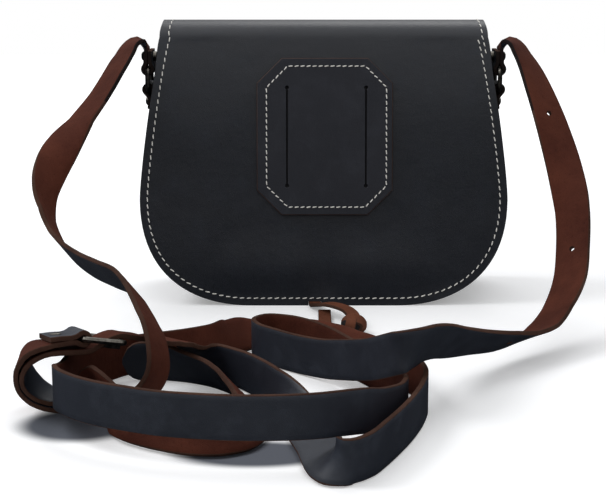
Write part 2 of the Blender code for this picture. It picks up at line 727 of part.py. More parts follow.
def smooth_route(pairs, step):
    """Points of a smooth line through a route, about a step apart, with a width direction square to it."""
    count = len(pairs)
    leads = []
    for index, (point, across) in enumerate(pairs):
        back = point - pairs[max(index - 1, 0)][0]
        ahead = pairs[min(index + 1, count - 1)][0] - point
        if index == 0:
            leads.append(ahead.normalized())
        elif index == count - 1:
            leads.append(back.normalized())
        else:
            blend = back.normalized() * ahead.length + ahead.normalized() * back.length
            leads.append(blend / (back.length + ahead.length))
    samples = []
    for index in range(count - 1):
        p1, w1 = pairs[index]
        p2, w2 = pairs[index + 1]
        span = (p2 - p1).length
        pieces = max(1, round(span / step), math.ceil(w1.angle(w2) / TWIST_STEP))
        for piece in range(pieces):
            t = piece / pieces
            near = (1 + 2 * t) * (1 - t) ** 2
            far = t * t * (3 - 2 * t)
            point = p1 * near + p2 * far
            point = point + leads[index] * (span * t * (1 - t) ** 2) - leads[index + 1] * (span * t * t * (1 - t))
            samples.append((point, w1.lerp(w2, t)))
    samples.append(pairs[-1])
    square = []
    for index, (point, across) in enumerate(samples):
        before = samples[max(index - 1, 0)][0]
        after = samples[min(index + 1, len(samples) - 1)][0]
        along = (after - before).normalized()
        across = (across - along * across.dot(along)).normalized()
        square.append((point, along, across))
    return square


def band_solid(name, pairs, width, thickness, step, collection):
    """A flat band: rows across its width, thickened evenly to both sides of its centre line."""
    rows = []
    pushes = []
    for point, along, across in smooth_route(pairs, step):
        normal = along.cross(across)
        reach = abs(across.z) * width / 2 + abs(normal.z) * thickness / 2
        point = Vector((point.x, point.y, max(point.z, reach + FIT)))
        start = point - normal * (thickness / 2)
        rows.append((start - across * (width / 2), start + across * (width / 2)))
        pushes.append((normal * thickness, normal * thickness))
    return sheet_from_rows(name, rows, pushes, collection)


FOLD_LOOP = RING_WIRE_RADIUS + FIT + STRAP_LEATHER / 2
PLY_OFFSET = (STRAP_LEATHER + PLY_GAP) / 2


def ring_fold(side, ring_x, top_bar_z, width_direction):
    """The strap's end round the ring's upper bar, from the short ply's end to the main ply."""
    line = [(-PLY_OFFSET, STRAP_END_RISE), (-PLY_OFFSET, SCREW_RISE)]
    for step in range(ARC_STEPS + 1):
        angle = math.pi - FOLD_WRAP + (math.pi + 2 * FOLD_WRAP) * step / ARC_STEPS
        line.append((FOLD_LOOP * math.cos(angle), FOLD_LOOP * math.sin(angle)))
    line.insert(2, (-PLY_OFFSET, FOLD_LOOP * FOLD_NECK_SHARE))
    line.append((PLY_OFFSET, FOLD_LOOP * FOLD_NECK_SHARE))
    line += [(PLY_OFFSET, SCREW_RISE), (PLY_OFFSET, SCREW_RISE + SCREW_SHAFT_RADIUS + 2 * FIT)]
    line.append((PLY_OFFSET, STRAP_END_RISE * MAIN_PLY_SHARE))
    return [(Vector((side * (ring_x + x), MIDDLE_Y, top_bar_z + z)), width_direction) for x, z in line]


BUCKLE_PLACE = Matrix.Translation((BUCKLE_BAR_X, BUCKLE_BAR_Y, BUCKLE_BAR_Z))
BUCKLE_LEVEL = BUCKLE_PLACE @ Matrix.Rotation(BUCKLE_TURN, 4, "Z") @ Matrix.Rotation(BUCKLE_ROLL, 4, "X")
BUCKLE_FRAME = BUCKLE_LEVEL @ Matrix.Rotation(-BUCKLE_SLOPE, 4, "Y")
BUCKLE_LENGTH = BUCKLE_INNER_LENGTH + 2 * BUCKLE_WIRE_RADIUS


def placed(frame, run, rise):
    return frame @ Vector((run, 0, rise))


def screw_frame():
    return BUCKLE_LEVEL @ Matrix.Translation((-BUCKLE_SCREW_RUN, 0, 0))


def buckle_fold():
    """The short strap's end round the buckle's bar: under the bar, round it and back above."""
    across = BUCKLE_LEVEL.to_3x3() @ Vector((0, 1, 0))
    neck = FOLD_LOOP * FOLD_NECK_SHARE
    head_edge = BUCKLE_SCREW_RUN + SCREW_HEAD_RADIUS + FIT
    line = [(-BUCKLE_END_RUN, -PLY_OFFSET - FIT), (-head_edge, -PLY_OFFSET)]
    line += [(-BUCKLE_SCREW_RUN, -PLY_OFFSET), (-neck, -PLY_OFFSET)]
    for step in range(ARC_STEPS + 1):
        angle = -math.pi / 2 - FOLD_WRAP + (math.pi + 2 * FOLD_WRAP) * step / ARC_STEPS
        line.append((FOLD_LOOP * math.cos(angle), FOLD_LOOP * math.sin(angle)))
    line += [(-neck, PLY_OFFSET), (-BUCKLE_SCREW_RUN, PLY_OFFSET), (-BUCKLE_END_RUN, PLY_OFFSET)]
    return [(placed(BUCKLE_LEVEL, run, rise), across) for run, rise in line]


def billet_run():
    """The long strap through the buckle: over the free bar, down through the frame and under the fold."""
    across = BUCKLE_LEVEL.to_3x3() @ Vector((0, -1, 0))
    below = FOLD_LOOP + STRAP_LEATHER + 3 * FIT
    framed = [
        (BUCKLE_LENGTH + FOLD_LOOP, FOLD_LOOP),
        (BUCKLE_LENGTH, FOLD_LOOP + FIT),
        (BUCKLE_LENGTH * 0.7, FOLD_LOOP * 0.45),
        (BUCKLE_LENGTH * 0.4, -FOLD_LOOP * 0.95),
    ]
    level = [
        (FOLD_LOOP * 0.8, -below * 1.02),
        (0, -below * 1.02),
        (-BUCKLE_SCREW_RUN * 0.5, -below * 0.96),
        (-BUCKLE_SCREW_RUN, -below * 0.88),
    ]
    pairs = [(placed(BUCKLE_FRAME, run, rise), across) for run, rise in framed]
    pairs += [(placed(BUCKLE_LEVEL, run, rise), across) for run, rise in level]
    return pairs


def make_rings_and_tabs(collection, cutters, gusset):
    """Both sides' tab, ring, rivet and strap screw. Gives the ring's bar line for the straps."""
    wall_x = max(width_at(RING_BAR_HEIGHT - TAB_FOOT_DROP, GUSSET_INSET), width_at(RING_BAR_HEIGHT, GUSSET_INSET))
    loop = RING_WIRE_RADIUS + FIT + TAB_LEATHER / 2
    bar_x = wall_x + FIT + TAB_LEATHER / 2 + loop
    top_bar_z = RING_BAR_HEIGHT + RING_INNER_HEIGHT + 2 * RING_WIRE_RADIUS
    for side, label in ((-1, "left"), (1, "right")):
        line = [(side * x, z) for x, z in tab_line(wall_x)]
        tab = band_from_line(label + "_ring_tab", line, TAB_WIDTH, TAB_LEATHER, collection)
        rivet_z = RING_BAR_HEIGHT - RIVET_DROP
        reach = wall_x + 4 * TAB_LEATHER
        place = (side * reach / 2, MIDDLE_Y, rivet_z)
        add_cutter(tab, hole_cutter(label + "_tab_hole", RIVET_SHAFT_RADIUS + FIT, reach, place), cutters)
        add_cutter(gusset, hole_cutter(label + "_gusset_hole", RIVET_SHAFT_RADIUS + FIT, reach, place), cutters)
        finish(tab, tab.name, NAVY_LEATHER, 0.5)

        inside = width_at(rivet_z + RIVET_HEAD_RADIUS, GUSSET_INSET) - GUSSET_LEATHER - 3 * FIT
        outside = wall_x + 4 * FIT + 2 * TAB_LEATHER
        turn = Matrix.Rotation(0 if side > 0 else math.pi, 4, "Z")
        name = label + "_tab_rivet"
        rivet = fastener(
            name, RIVET_SHAFT_RADIUS, RIVET_HEAD_RADIUS, RIVET_HEAD_HEIGHT, inside, outside, collection
        )
        rivet.data.transform(turn)
        rivet.location = (0, MIDDLE_Y, rivet_z)
        finish(rivet, name, GUNMETAL, 0.35, 1.0, smooth=True)

        loop_line = rounded_loop(RING_INNER_WIDTH, RING_INNER_HEIGHT, RING_CORNER_RADIUS, RING_WIRE_RADIUS)
        ring_points = [(0, across, along) for across, along in loop_line]
        ring = wire_object(label + "_strap_ring", ring_points, RING_WIRE_RADIUS, collection, cyclic=True)
        ring.location = (side * bar_x, MIDDLE_Y, RING_BAR_HEIGHT)
        finish(ring, label + "_strap_ring", GUNMETAL, 0.35, 1.0, smooth=True)

        name = label + "_strap_screw"
        half_grip = PLY_OFFSET + STRAP_LEATHER / 2 + FIT
        screw = fastener(
            name, SCREW_SHAFT_RADIUS, SCREW_HEAD_RADIUS, SCREW_HEAD_HEIGHT, -half_grip, half_grip, collection
        )
        screw.data.transform(turn)
        screw.location = (side * bar_x, MIDDLE_Y, top_bar_z + SCREW_RISE)
        finish(screw, name, GUNMETAL, 0.35, 1.0, smooth=True)
    return bar_x, top_bar_z


def make_straps(collection, cutters, bar_x, top_bar_z):
    long_pairs = ring_fold(1, bar_x, top_bar_z, Vector((0, 1, 0)))
    long_pairs += route_pairs(LONG_FREE_ROUTE) + billet_run() + route_pairs(TAIL_ROUTE)
    long_strap = band_solid("strap_long", long_pairs, STRAP_WIDTH, STRAP_LEATHER, ROUTE_STEP, collection)
    short_pairs = ring_fold(-1, bar_x, top_bar_z, Vector((0, -1, 0)))
    short_pairs += route_pairs(SHORT_FREE_ROUTE) + buckle_fold()
    short_strap = band_solid("strap_short", short_pairs, STRAP_WIDTH, STRAP_LEATHER, ROUTE_STEP, collection)

    reach = 4 * (PLY_OFFSET + STRAP_LEATHER)
    for side, strap in ((1, long_strap), (-1, short_strap)):
        place = (side * bar_x, MIDDLE_Y, top_bar_z + SCREW_RISE)
        name = strap.name + "_screw_hole"
        add_cutter(strap, hole_cutter(name, SCREW_SHAFT_RADIUS + FIT, reach, place), cutters)
    screw_hole = hole_cutter("buckle_screw_hole", SCREW_SHAFT_RADIUS + FIT, reach, (0, 0, 0))
    screw_hole.matrix_world = screw_frame() @ Matrix.Rotation(math.pi / 2, 4, "Y")
    add_cutter(short_strap, screw_hole, cutters)

    fold_size = (FOLD_SLOT_RUN, PRONG_SLOT_WIDTH, 3 * FOLD_LOOP)
    fold_slot = bpy.data.objects.new("fold_slot", box_mesh(fold_size))
    fold_slot.matrix_world = BUCKLE_LEVEL
    add_cutter(short_strap, fold_slot, cutters)
    billet_slot = bpy.data.objects.new("billet_slot", box_mesh((PRONG_SLOT_RUN, PRONG_SLOT_WIDTH, 4 * FOLD_LOOP)))
    billet_slot.matrix_world = BUCKLE_FRAME @ Matrix.Translation((BUCKLE_LENGTH / 2, 0, -FOLD_LOOP / 2))
    add_cutter(long_strap, billet_slot, cutters)
    finish(long_strap, "strap_long", NAVY_LEATHER, 0.55)
    finish(short_strap, "strap_short", BROWN_LEATHER, 0.7)


def make_buckle(collection):
    loop_line = rounded_loop(BUCKLE_INNER_WIDTH, BUCKLE_INNER_LENGTH, BUCKLE_CORNER_RADIUS, BUCKLE_WIRE_RADIUS)
    points = [(along, across, 0) for across, along in loop_line]
    frame = wire_object("buckle_frame", points, BUCKLE_WIRE_RADIUS, collection, cyclic=True)
    frame.matrix_world = BUCKLE_FRAME
    finish(frame, "buckle_frame", GUNMETAL, 0.35, 1.0, smooth=True)

    curl = BUCKLE_WIRE_RADIUS + FIT + PRONG_WIRE_RADIUS
    prong_points = []
    for step in range(2 * ARC_STEPS + 1):
        angle = CURL_START + CURL_SWEEP * step / (2 * ARC_STEPS)
        prong_points.append((curl * math.cos(angle), 0, curl * math.sin(angle)))
    prong_points.append((BUCKLE_LENGTH * 0.4, 0, -curl * 0.7))
    prong_points.append((BUCKLE_LENGTH * 0.8, 0, -curl))
    prong_points.append((BUCKLE_LENGTH + PRONG_OVERHANG, 0, -curl))
    prong = wire_object("buckle_prong", prong_points, PRONG_WIRE_RADIUS, collection)
    prong.matrix_world = BUCKLE_FRAME
    finish(prong, "buckle_prong", GUNMETAL, 0.35, 1.0, smooth=True)

    grip = PLY_OFFSET + STRAP_LEATHER / 2 + FIT
    head = SCREW_HEAD_HEIGHT * FLAT_HEAD_SHARE
    screw = fastener(
        "buckle_screw", SCREW_SHAFT_RADIUS, SCREW_HEAD_RADIUS * SMALL_HEAD_SHARE, head, -grip, grip, collection
    )
    screw.data.transform(Matrix.Rotation(-math.pi / 2, 4, "Y"))
    screw.matrix_world = screw_frame()
    finish(screw, "buckle_screw", GUNMETAL, 0.35, 1.0, smooth=True)


def make_stud(collection, cutters, front_panel, flap):
    """The closing stud: its head is inside, its neck passes the front panel and its ball stands in the flap."""
    place = Vector((0, front_outer(STUD_HEIGHT), STUD_HEIGHT))
    tilt = math.atan(LEAN)
    inside = -LEATHER - 2 * FIT
    outside = FIT + FLAP_LEATHER + 2 * FIT
    ball = STUD_BALL_RADIUS
    profile = [
        (inside - STUD_HEAD_HEIGHT, 0.0),
        (inside - STUD_HEAD_HEIGHT, STUD_HEAD_RADIUS),
        (inside, STUD_HEAD_RADIUS),
        (inside, STUD_NECK_RADIUS),
        (outside, STUD_NECK_RADIUS),
    ]
    for step in range(1, ARC_STEPS):
        angle = math.pi * step / ARC_STEPS
        profile.append((outside + ball - ball * math.cos(angle), max(ball * math.sin(angle), STUD_NECK_RADIUS)))
    profile.append((outside + 2 * ball, 0.0))
    stud = turned("closure_stud", profile, collection)
    lay = Matrix.Rotation(tilt, 4, "X") @ Matrix.Rotation(math.pi / 2, 4, "Z")
    stud.matrix_world = Matrix.Translation(place) @ lay
    finish(stud, "closure_stud", GUNMETAL, 0.35, 1.0, smooth=True)
    for target, radius in ((front_panel, STUD_NECK_RADIUS + FIT), (flap, ball + 2 * FIT)):
        name = target.name + "_stud_hole"
        hole = bpy.data.objects.new(name, cylinder_mesh(radius, 4 * (LEATHER + FLAP_LEATHER), ROUND_SIDES))
        hole.matrix_world = Matrix.Translation(place) @ lay
        add_cutter(target, hole, cutters)


# Thong routes, hand-chosen like the straps'.
THONG_ROUTE = [
    (-4, -28, 1.45, 1, 0, 0),
    (-4, -38, 1.45, 1, 0, 0),
    (-3.4, -46, 1.7, 1, 0.1, 0),
    (-1, -55, 4.5, 0.9, 0.3, 0),
    (4, -65, 7.5, 0.8, 0.5, 0),
    (11, -76, 9, 0.75, 0.55, 0),
    (16.5, -84.5, 8.6, 0.85, 0.45, 0),
    (19, -90.5, 7.2, 0.97, 0.2, 0),
    (19.6, -94.6, 5.7, 1, 0, 0),
]
THONG_TAIL_ROUTE = [
    (10.1, -106.4, 3.2, 0, 1, 0),
    (7.2, -106.1, 2.4, 0.2, 0.98, 0),
    (4.5, -104.3, 1.8, 0.7, 0.7, 0),
    (2.6, -101, 1.6, 0.95, 0.3, 0),
    (2.2, -96, 1.5, 1, 0.05, 0),
    (2, -84, 1.5, 1, 0, 0),
    (2, -70, 1.5, 1, 0, 0),
    (2, -60, 1.5, 1, 0, 0),
]


def make_thong(collection, cutters, back_panel):
    """The thong that leaves the bag under its back panel, its knot and the loose tail."""
    for name, route in (("closure_thong", THONG_ROUTE), ("closure_thong_tail", THONG_TAIL_ROUTE)):
        pairs = route_pairs(route)
        thong = band_solid(name, pairs, THONG_WIDTH, THONG_LEATHER, ROUTE_STEP / 2, collection)
        finish(thong, name, BROWN_LEATHER, 0.7)
    builder = bmesh.new()
    spread = Matrix.Diagonal((KNOT_WIDTH / 2, KNOT_LENGTH / 2, KNOT_HEIGHT / 2, 1))
    bmesh.ops.create_uvsphere(builder, u_segments=ROUND_SIDES // 2, v_segments=ARC_STEPS, radius=1, matrix=spread)
    knot = object_from_bmesh("thong_knot", builder, collection)
    knot.location = (KNOT_X, KNOT_Y, KNOT_HEIGHT / 2 + FIT)
    finish(knot, "thong_knot", BROWN_LEATHER, 0.7, smooth=True)
    notch_x = THONG_ROUTE[0][0] * ROUTE_UNIT + PILE_OFFSET
    notch_size = (THONG_WIDTH + 4 * FIT, 4 * LEATHER, 2 * (THONG_LEATHER + 3 * FIT))
    notch = bpy.data.objects.new("thong_notch", box_mesh(notch_size))
    notch.location = (notch_x, BACK_Y + LEATHER / 2, 0)
    add_cutter(back_panel, notch, cutters)


def main():
    clear_scene()
    collection = new_collection("belt_bag")
    cutters = new_collection("belt_bag_cutters")
    back_panel = make_panel("back_panel", back_outer, 1, BAG_HEIGHT, collection)
    front_panel = make_panel("front_panel", front_outer, -1, BAG_HEIGHT - FRONT_DROP, collection)
    gusset = make_gusset(collection)
    flap = make_flap(collection)
    make_patch(collection, cutters)
    bar_x, top_bar_z = make_rings_and_tabs(collection, cutters, gusset)
    make_straps(collection, cutters, bar_x, top_bar_z)
    make_buckle(collection)
    make_stud(collection, cutters, front_panel, flap)
    make_thong(collection, cutters, back_panel)


main()
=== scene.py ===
"""Leather belt bag with its shoulder strap piled in front: the visual model."""
from math import atan, ceil, cos, exp, pi, radians, sin, sqrt

import bmesh
import bpy
from mathutils import Matrix, Vector, noise


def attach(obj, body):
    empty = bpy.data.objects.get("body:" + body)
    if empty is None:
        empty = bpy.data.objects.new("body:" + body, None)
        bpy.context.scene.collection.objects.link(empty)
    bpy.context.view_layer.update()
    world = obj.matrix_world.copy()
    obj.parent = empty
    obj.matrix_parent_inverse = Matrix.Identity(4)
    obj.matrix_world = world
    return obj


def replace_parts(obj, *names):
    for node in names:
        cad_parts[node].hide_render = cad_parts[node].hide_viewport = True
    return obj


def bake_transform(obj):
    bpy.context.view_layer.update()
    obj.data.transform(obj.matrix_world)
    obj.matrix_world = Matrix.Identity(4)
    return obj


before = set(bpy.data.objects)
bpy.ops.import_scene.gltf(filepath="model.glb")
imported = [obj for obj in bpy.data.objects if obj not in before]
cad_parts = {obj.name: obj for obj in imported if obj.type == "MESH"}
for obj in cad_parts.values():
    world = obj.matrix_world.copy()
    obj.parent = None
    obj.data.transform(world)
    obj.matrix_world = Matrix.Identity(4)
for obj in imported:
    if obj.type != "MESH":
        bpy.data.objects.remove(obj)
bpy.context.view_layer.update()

# The bag's sizes in metres, as the CAD has them
BAG_HEIGHT = 0.172
HALF_WIDTH = 0.118
BASE_DEPTH = 0.078
TOP_DEPTH = 0.0265
LEATHER = 0.0026
GUSSET_LEATHER = 0.0022
GUSSET_INSET = 0.003
FRONT_DROP = 0.008
FIT = 0.0003
FLAP_LEATHER = 0.0028
FLAP_RISE = 0.011
HEM_HEIGHT = 0.007
LEAN = (BASE_DEPTH - TOP_DEPTH) / 2 / BAG_HEIGHT
BACK_Y = -(BASE_DEPTH + FIT + FLAP_LEATHER) / 2
FRONT_Y = BACK_Y + BASE_DEPTH
MIDDLE_Y = (BACK_Y + FRONT_Y) / 2
STUD_HEIGHT = 0.034
STUD_HOLE = 0.004

# The belt patch: half width, half height and corner cut of its outline and of its stitches
PATCH_TILT = atan(LEAN)
PATCH_OUT = Vector((0, -cos(PATCH_TILT), sin(PATCH_TILT)))
PATCH_LEVEL = 0.1075
PATCH_CENTRE = Vector((0.0006, BACK_Y + LEAN * PATCH_LEVEL - FIT / cos(PATCH_TILT), PATCH_LEVEL))
PATCH_THICK = 0.0024
PATCH_ROUND = 0.0007
PATCH_SHAPE = (0.0434 - PATCH_ROUND, 0.05 - PATCH_ROUND, 0.0155)
PATCH_SEAM = (0.0383, 0.0449, 0.0135)
SEAM_SHIFT = 0.0011
SLIT_X = 0.0252
SLIT_LENGTH = 0.0625
SLIT_HALF = 0.0009
SLIT_HOLE = 0.0016

# The ring tabs and the metal that goes through them
WIRE = 0.0015
RING_X = 0.1130294
RING_TOP_Z = 0.1493
RING_BAR_HEIGHT = 0.1362
TAB_FOOT_DROP = 0.0125
TAB_LEATHER = 0.0022
TAB_WIDTH = 0.021
RIVET_DROP = 0.0085
RIVET_HOLE = 0.0018

# The straps, the buckle's two levels and the thong
STRAP_WIDTH = 0.022
STRAP_LEATHER = 0.0026
HOLE_RUNS = (0.1025, 0.1965, 0.2955)
HOLE_RADIUS = 0.0017
FOLD_LOOP = WIRE + FIT + STRAP_LEATHER / 2
FOLD_NECK = FOLD_LOOP * 1.3
FOLD_END = 0.0115
PLY_OFFSET = (STRAP_LEATHER + FIT) / 2
PILE_OFFSET = -0.0017
BUCKLE_LENGTH = 0.021
BUCKLE_LEVEL = (
    Matrix.Translation((-0.1275, -0.245, 0.0388))
    @ Matrix.Rotation(radians(25), 4, "Z")
    @ Matrix.Rotation(radians(-9), 4, "X")
)
BUCKLE_FRAME = BUCKLE_LEVEL @ Matrix.Rotation(radians(12), 4, "Y")
STRAP_WAVE = 0.0002
# How far from the ring a strap's cut edges are painted dark as shade
SHADED_EDGE_RUN = 0.1
THONG_WIDTH = 0.008
THONG_LEATHER = 0.0021
THONG_WAVE = 0.00015
KNOT_CENTRE = Vector((0.0165, -0.1045, 0.0054))
KNOT_SIZE = Vector((0.0066, 0.0078, 0.0043))

# How finely shapes are made. A band has its longest step and its largest twist from row to row
STRAP_STEPS = (0.0026, radians(5))
THONG_STEPS = (0.0012, radians(6))
KNOT_STEPS = (0.0011, radians(7))
TAB_STEPS = (0.0008, radians(8))
SHEET_COLUMNS = 48
FRONT_COLUMNS = 30
GUSSET_COLUMNS = 16
BAND_COLUMNS = 8
FOLD_STEPS = 24

# Stitches: a shape row is shares of length, thickness and radius upwards; a kind is pitch and length
STITCH_INSET = 0.0047
STITCH_RADIUS = 0.00036
STITCH_SLANT = 0.16
STITCH_SIDES = 8
STITCH_SHAPE = (
    (-0.5, 0.35, -0.9), (-0.42, 0.85, -0.1), (-0.2, 1.0, 0.3),
    (0.2, 1.0, 0.3), (0.42, 0.85, -0.1), (0.5, 0.35, -0.9),
)
EDGE_STITCHES = (0.0045, 0.0031)
PATCH_STITCHES = (0.00385, 0.0028)

# Edges and fold: a band's cut edge has shares of its rounding inwards and of its half thickness upwards
EDGE_ROUND = ((0.25, 0.82), (0, 0.45), (0, -0.45), (0.25, -0.82))
SHEET_EDGE_OUT = 0.00035
TOP_SPREAD = 0.0018
FOLD_DRAW = 0.0012

# Floor, lamps and camera
BLACK = (0.0, 0.0, 0.0)
WHITE = (1.0, 1.0, 1.0)
FLOOR_WHITE = (0.9, 0.91, 0.93)
# Painted shadow: the floor's colour at the middle of the two patches below
FLOOR_PAINTED_SHADOW = (0.12, 0.13, 0.155)
FLOOR_IN_GLOSS = (0.03, 0.033, 0.04)
FLOOR_CORNERS = ((-3, -3, 0), (3, -3, 0), (3, 1.6, 0), (-3, 1.6, 0))
# Two painted shadows on the floor under the pile, each a centre and a reach
PAINTED_SHADOW_PATCHES = (((-0.125, -0.268, 0), (0.036, 0.03, 1)), ((-0.036, -0.309, 0), (0.046, 0.021, 1)))
HORIZON_IN_GLOSS = (0.04, 0.044, 0.05)
SOFT_LIGHT = 0.56
LAMP_AIM = Vector((0, -0.12, 0.06))
LAMPS = (("key_lamp", (-0.95, -0.1, 1.2), 0.7, 8.0), ("back_lamp", (0.15, 0.6, 1.5), 0.9, 5.5))
CAMERA_PLACE = (-0.0133, -0.9766, 0.2529)
CAMERA_TILT = radians(77)
SENSOR_WIDTH = 36.0
FOCAL_PIXELS = 1500
PICTURE_PIXELS = 606

# Strap and thong routes: a place in millimetres and the direction of the width, upright if left out
LONG_FREE_ROUTE = [
    (117.3, -1.9, 163.4, 0.03, 1, 0), (119.7, -3.1, 165.7, 0.1, 1, 0), (122.6, -5.2, 166.1, 0.2, 0.98, 0),
    (125.7, -8.8, 164.2, 0.35, 0.94, 0), (129, -14, 159, 0.48, 0.87, 0), (133, -21, 151, 0.62, 0.78, 0),
    (138, -33, 137, 0.8, 0.6, 0), (145, -49, 114, 0.95, 0.3, 0), (150, -67, 91, 0.99, -0.1, 0),
    (152, -83, 72, 0.8, -0.58, 0.1), (150, -101, 51, 0.75, -0.6, 0.2), (146, -117, 37, 0.72, -0.65, 0.2),
    (136, -135, 23.5, 0.67, -0.67, 0.32), (126, -150, 17, 0.75, -0.6, 0.3),
    (114, -163, 14.5, 0.72, -0.55, 0.45), (101, -176, 16, 0.64, -0.47, 0.6),
    (85, -192, 20, 0.58, -0.4, 0.7), (68, -218, 27.8, 0.49, -0.29, 0.81),
    (60, -232, 32.5, 0.43, -0.22, 0.87), (53, -244, 35.3, 0.36, -0.16, 0.92),
    (45.5, -255, 36.2, 0.25, -0.1, 0.96), (38, -259, 35.2, 0.1, -0.03, 0.99), (31, -254, 31.7),
    (24, -244, 26.8), (17, -229.5, 21.8), (9, -213, 16.8), (0, -199, 13), (-13, -186.5, 11.6),
    (-27, -173, 11.5), (-37, -161, 11.5), (-39.5, -150, 11.5), (-33, -142, 11.5), (-21, -144, 11.5),
    (-8, -154, 11.5), (3, -169, 11.5), (14, -190, 11.3), (26, -212, 11.3), (34, -230, 11.3, -0.08, 0, 1),
    (39, -247, 11.3, -0.1, 0, 1), (40, -260, 11.6), (37, -272, 12.2), (31.5, -286, 15), (24, -301, 18.8),
    (16, -314, 23.2), (7, -322, 25), (-3, -326, 25.2), (-16, -328, 25), (-30, -328, 24.7),
    (-45, -326.5, 24.3), (-63, -323, 24), (-80, -319, 24), (-94, -313, 24), (-108, -306, 24),
    (-120, -297, 24), (-129, -287, 24), (-133, -276, 22.6), (-133.6, -266, 19.8), (-133, -255.5, 17.9),
    (-132, -243, 17.7), (-131, -234, 18.2), (-129.5, -226, 17), (-126.7, -217, 14), (-123, -208, 12),
    (-116, -197, 11.4), (-107, -187, 11.4), (-94, -181, 11.4), (-78, -174, 11.4, 0, 0.08, 1),
    (-62, -163, 10.6, 0, 0.3, 0.94), (-52, -144.5, 8.4, -0.38, 0.6, 0.72),
    (-37, -127, 6.4, -0.15, 0.88, 0.44), (-17.5, -125, 6.4, 0.2, 0.87, 0.45), (0, -137, 7, 0.5, 0.7, 0.52),
    (14, -156.5, 7.6, 0.62, 0.52, 0.58), (27, -180, 8.6, 0.55, 0.36, 0.7),
    (39, -204, 10.4, 0.32, 0.12, 0.92), (48, -226, 11.4), (51, -246, 11.4), (48, -266, 11.4),
    (42, -287, 11.4), (34, -308, 11.4), (26, -326, 11.4), (20.5, -337, 11.4, 0.03, 0, 1),
    (14.5, -344.5, 11.4, 0.12, 0, 0.99), (8, -348, 10.8, 0.3, 0.02, 0.95),
    (2.5, -345.5, 9.4, 0.52, 0.05, 0.85), (-0.2, -338, 7.7, 0.76, 0.12, 0.6),
    (-1.7, -328, 6.3, 0.88, 0.18, 0.4), (-4.3, -311, 6.2, 0.87, 0.24, 0.4), (-9, -293, 6.1, 0.8, 0.3, 0.5),
    (-13.7, -278.5, 7.5, 0.65, 0.3, 0.68), (-19, -263, 9.9, 0.37, 0.17, 0.91), (-25, -247, 11.3, 0.1, 0, 1),
    (-32, -232, 11.5), (-41, -218, 11.6, 0, -0.05, 1), (-51, -207, 11.9, 0, -0.2, 0.98),
    (-59.5, -200.8, 13.4, 0, -0.4, 0.92), (-67, -201.8, 17, 0, -0.65, 0.76),
    (-74.5, -206, 23.2, 0.15, -0.9, 0.35), (-82, -213.5, 27.5, 0.45, -0.87, 0.1),
    (-88.5, -222, 30, 0.6, -0.78, 0.1), (-95.8, -229.5, 34, 0.53, -0.83, 0.12),
]
TAIL_ROUTE = [
    (-142, -252, 33, 0.35, -0.93, 0.13), (-147.3, -252.8, 30.8, 0.2, -0.98, 0.1),
    (-151, -252, 26.6, 0.1, -1, 0.05), (-152.2, -249.5, 21.4, 0, -1, 0),
    (-150.9, -246.5, 16.2, -0.1, -1, 0), (-147.5, -244.2, 11.2, -0.15, -1, 0),
    (-142.5, -242.6, 7.4, -0.1, -1, 0), (-136.3, -241.3, 5.4, 0, -1, 0), (-131, -241.3, 4.9, -0.05, -1, 0),
    (-126.5, -242.2, 5.8, -0.3, -0.95, 0.02), (-122, -244.6, 8.8, -0.55, -0.8, 0.2),
    (-118.2, -248.3, 12.8, -0.74, -0.5, 0.42), (-115.3, -253.2, 16.2, -0.66, -0.15, 0.72),
    (-113, -259.5, 18, -0.4, -0.05, 0.92), (-111, -266, 17.2, -0.15, 0, 1), (-108, -272, 15, 0, 0.05, 1),
    (-104.5, -278, 12.9, 0, 0.2, 0.98), (-101, -283.5, 10.6, 0, 0.42, 0.91), (-94, -290, 9.4, 0, 0.6, 0.8),
    (-80, -299, 8.6, 0, 0.7, 0.7), (-64, -306, 8.6, 0, 0.7, 0.7), (-51, -306.5, 8.6, -0.2, 0.66, 0.7),
    (-42, -301.5, 8.6, -0.5, 0.45, 0.7), (-37, -291, 8.6, -0.7, 0.1, 0.7),
    (-36, -277, 8.6, -0.72, -0.1, 0.68), (-39, -261, 8.6, -0.68, -0.3, 0.68),
    (-45, -243, 8.6, -0.5, -0.5, 0.68), (-53, -227, 8.9, -0.2, -0.67, 0.7),
    (-63, -214.5, 9.4, 0, -0.65, 0.76), (-76, -205, 10, 0, -0.45, 0.88),
    (-90, -198.5, 11.2, 0, -0.12, 0.99), (-101, -197.8, 11.4, 0, -0.05, 1), (-109.5, -198.3, 11.5),
]
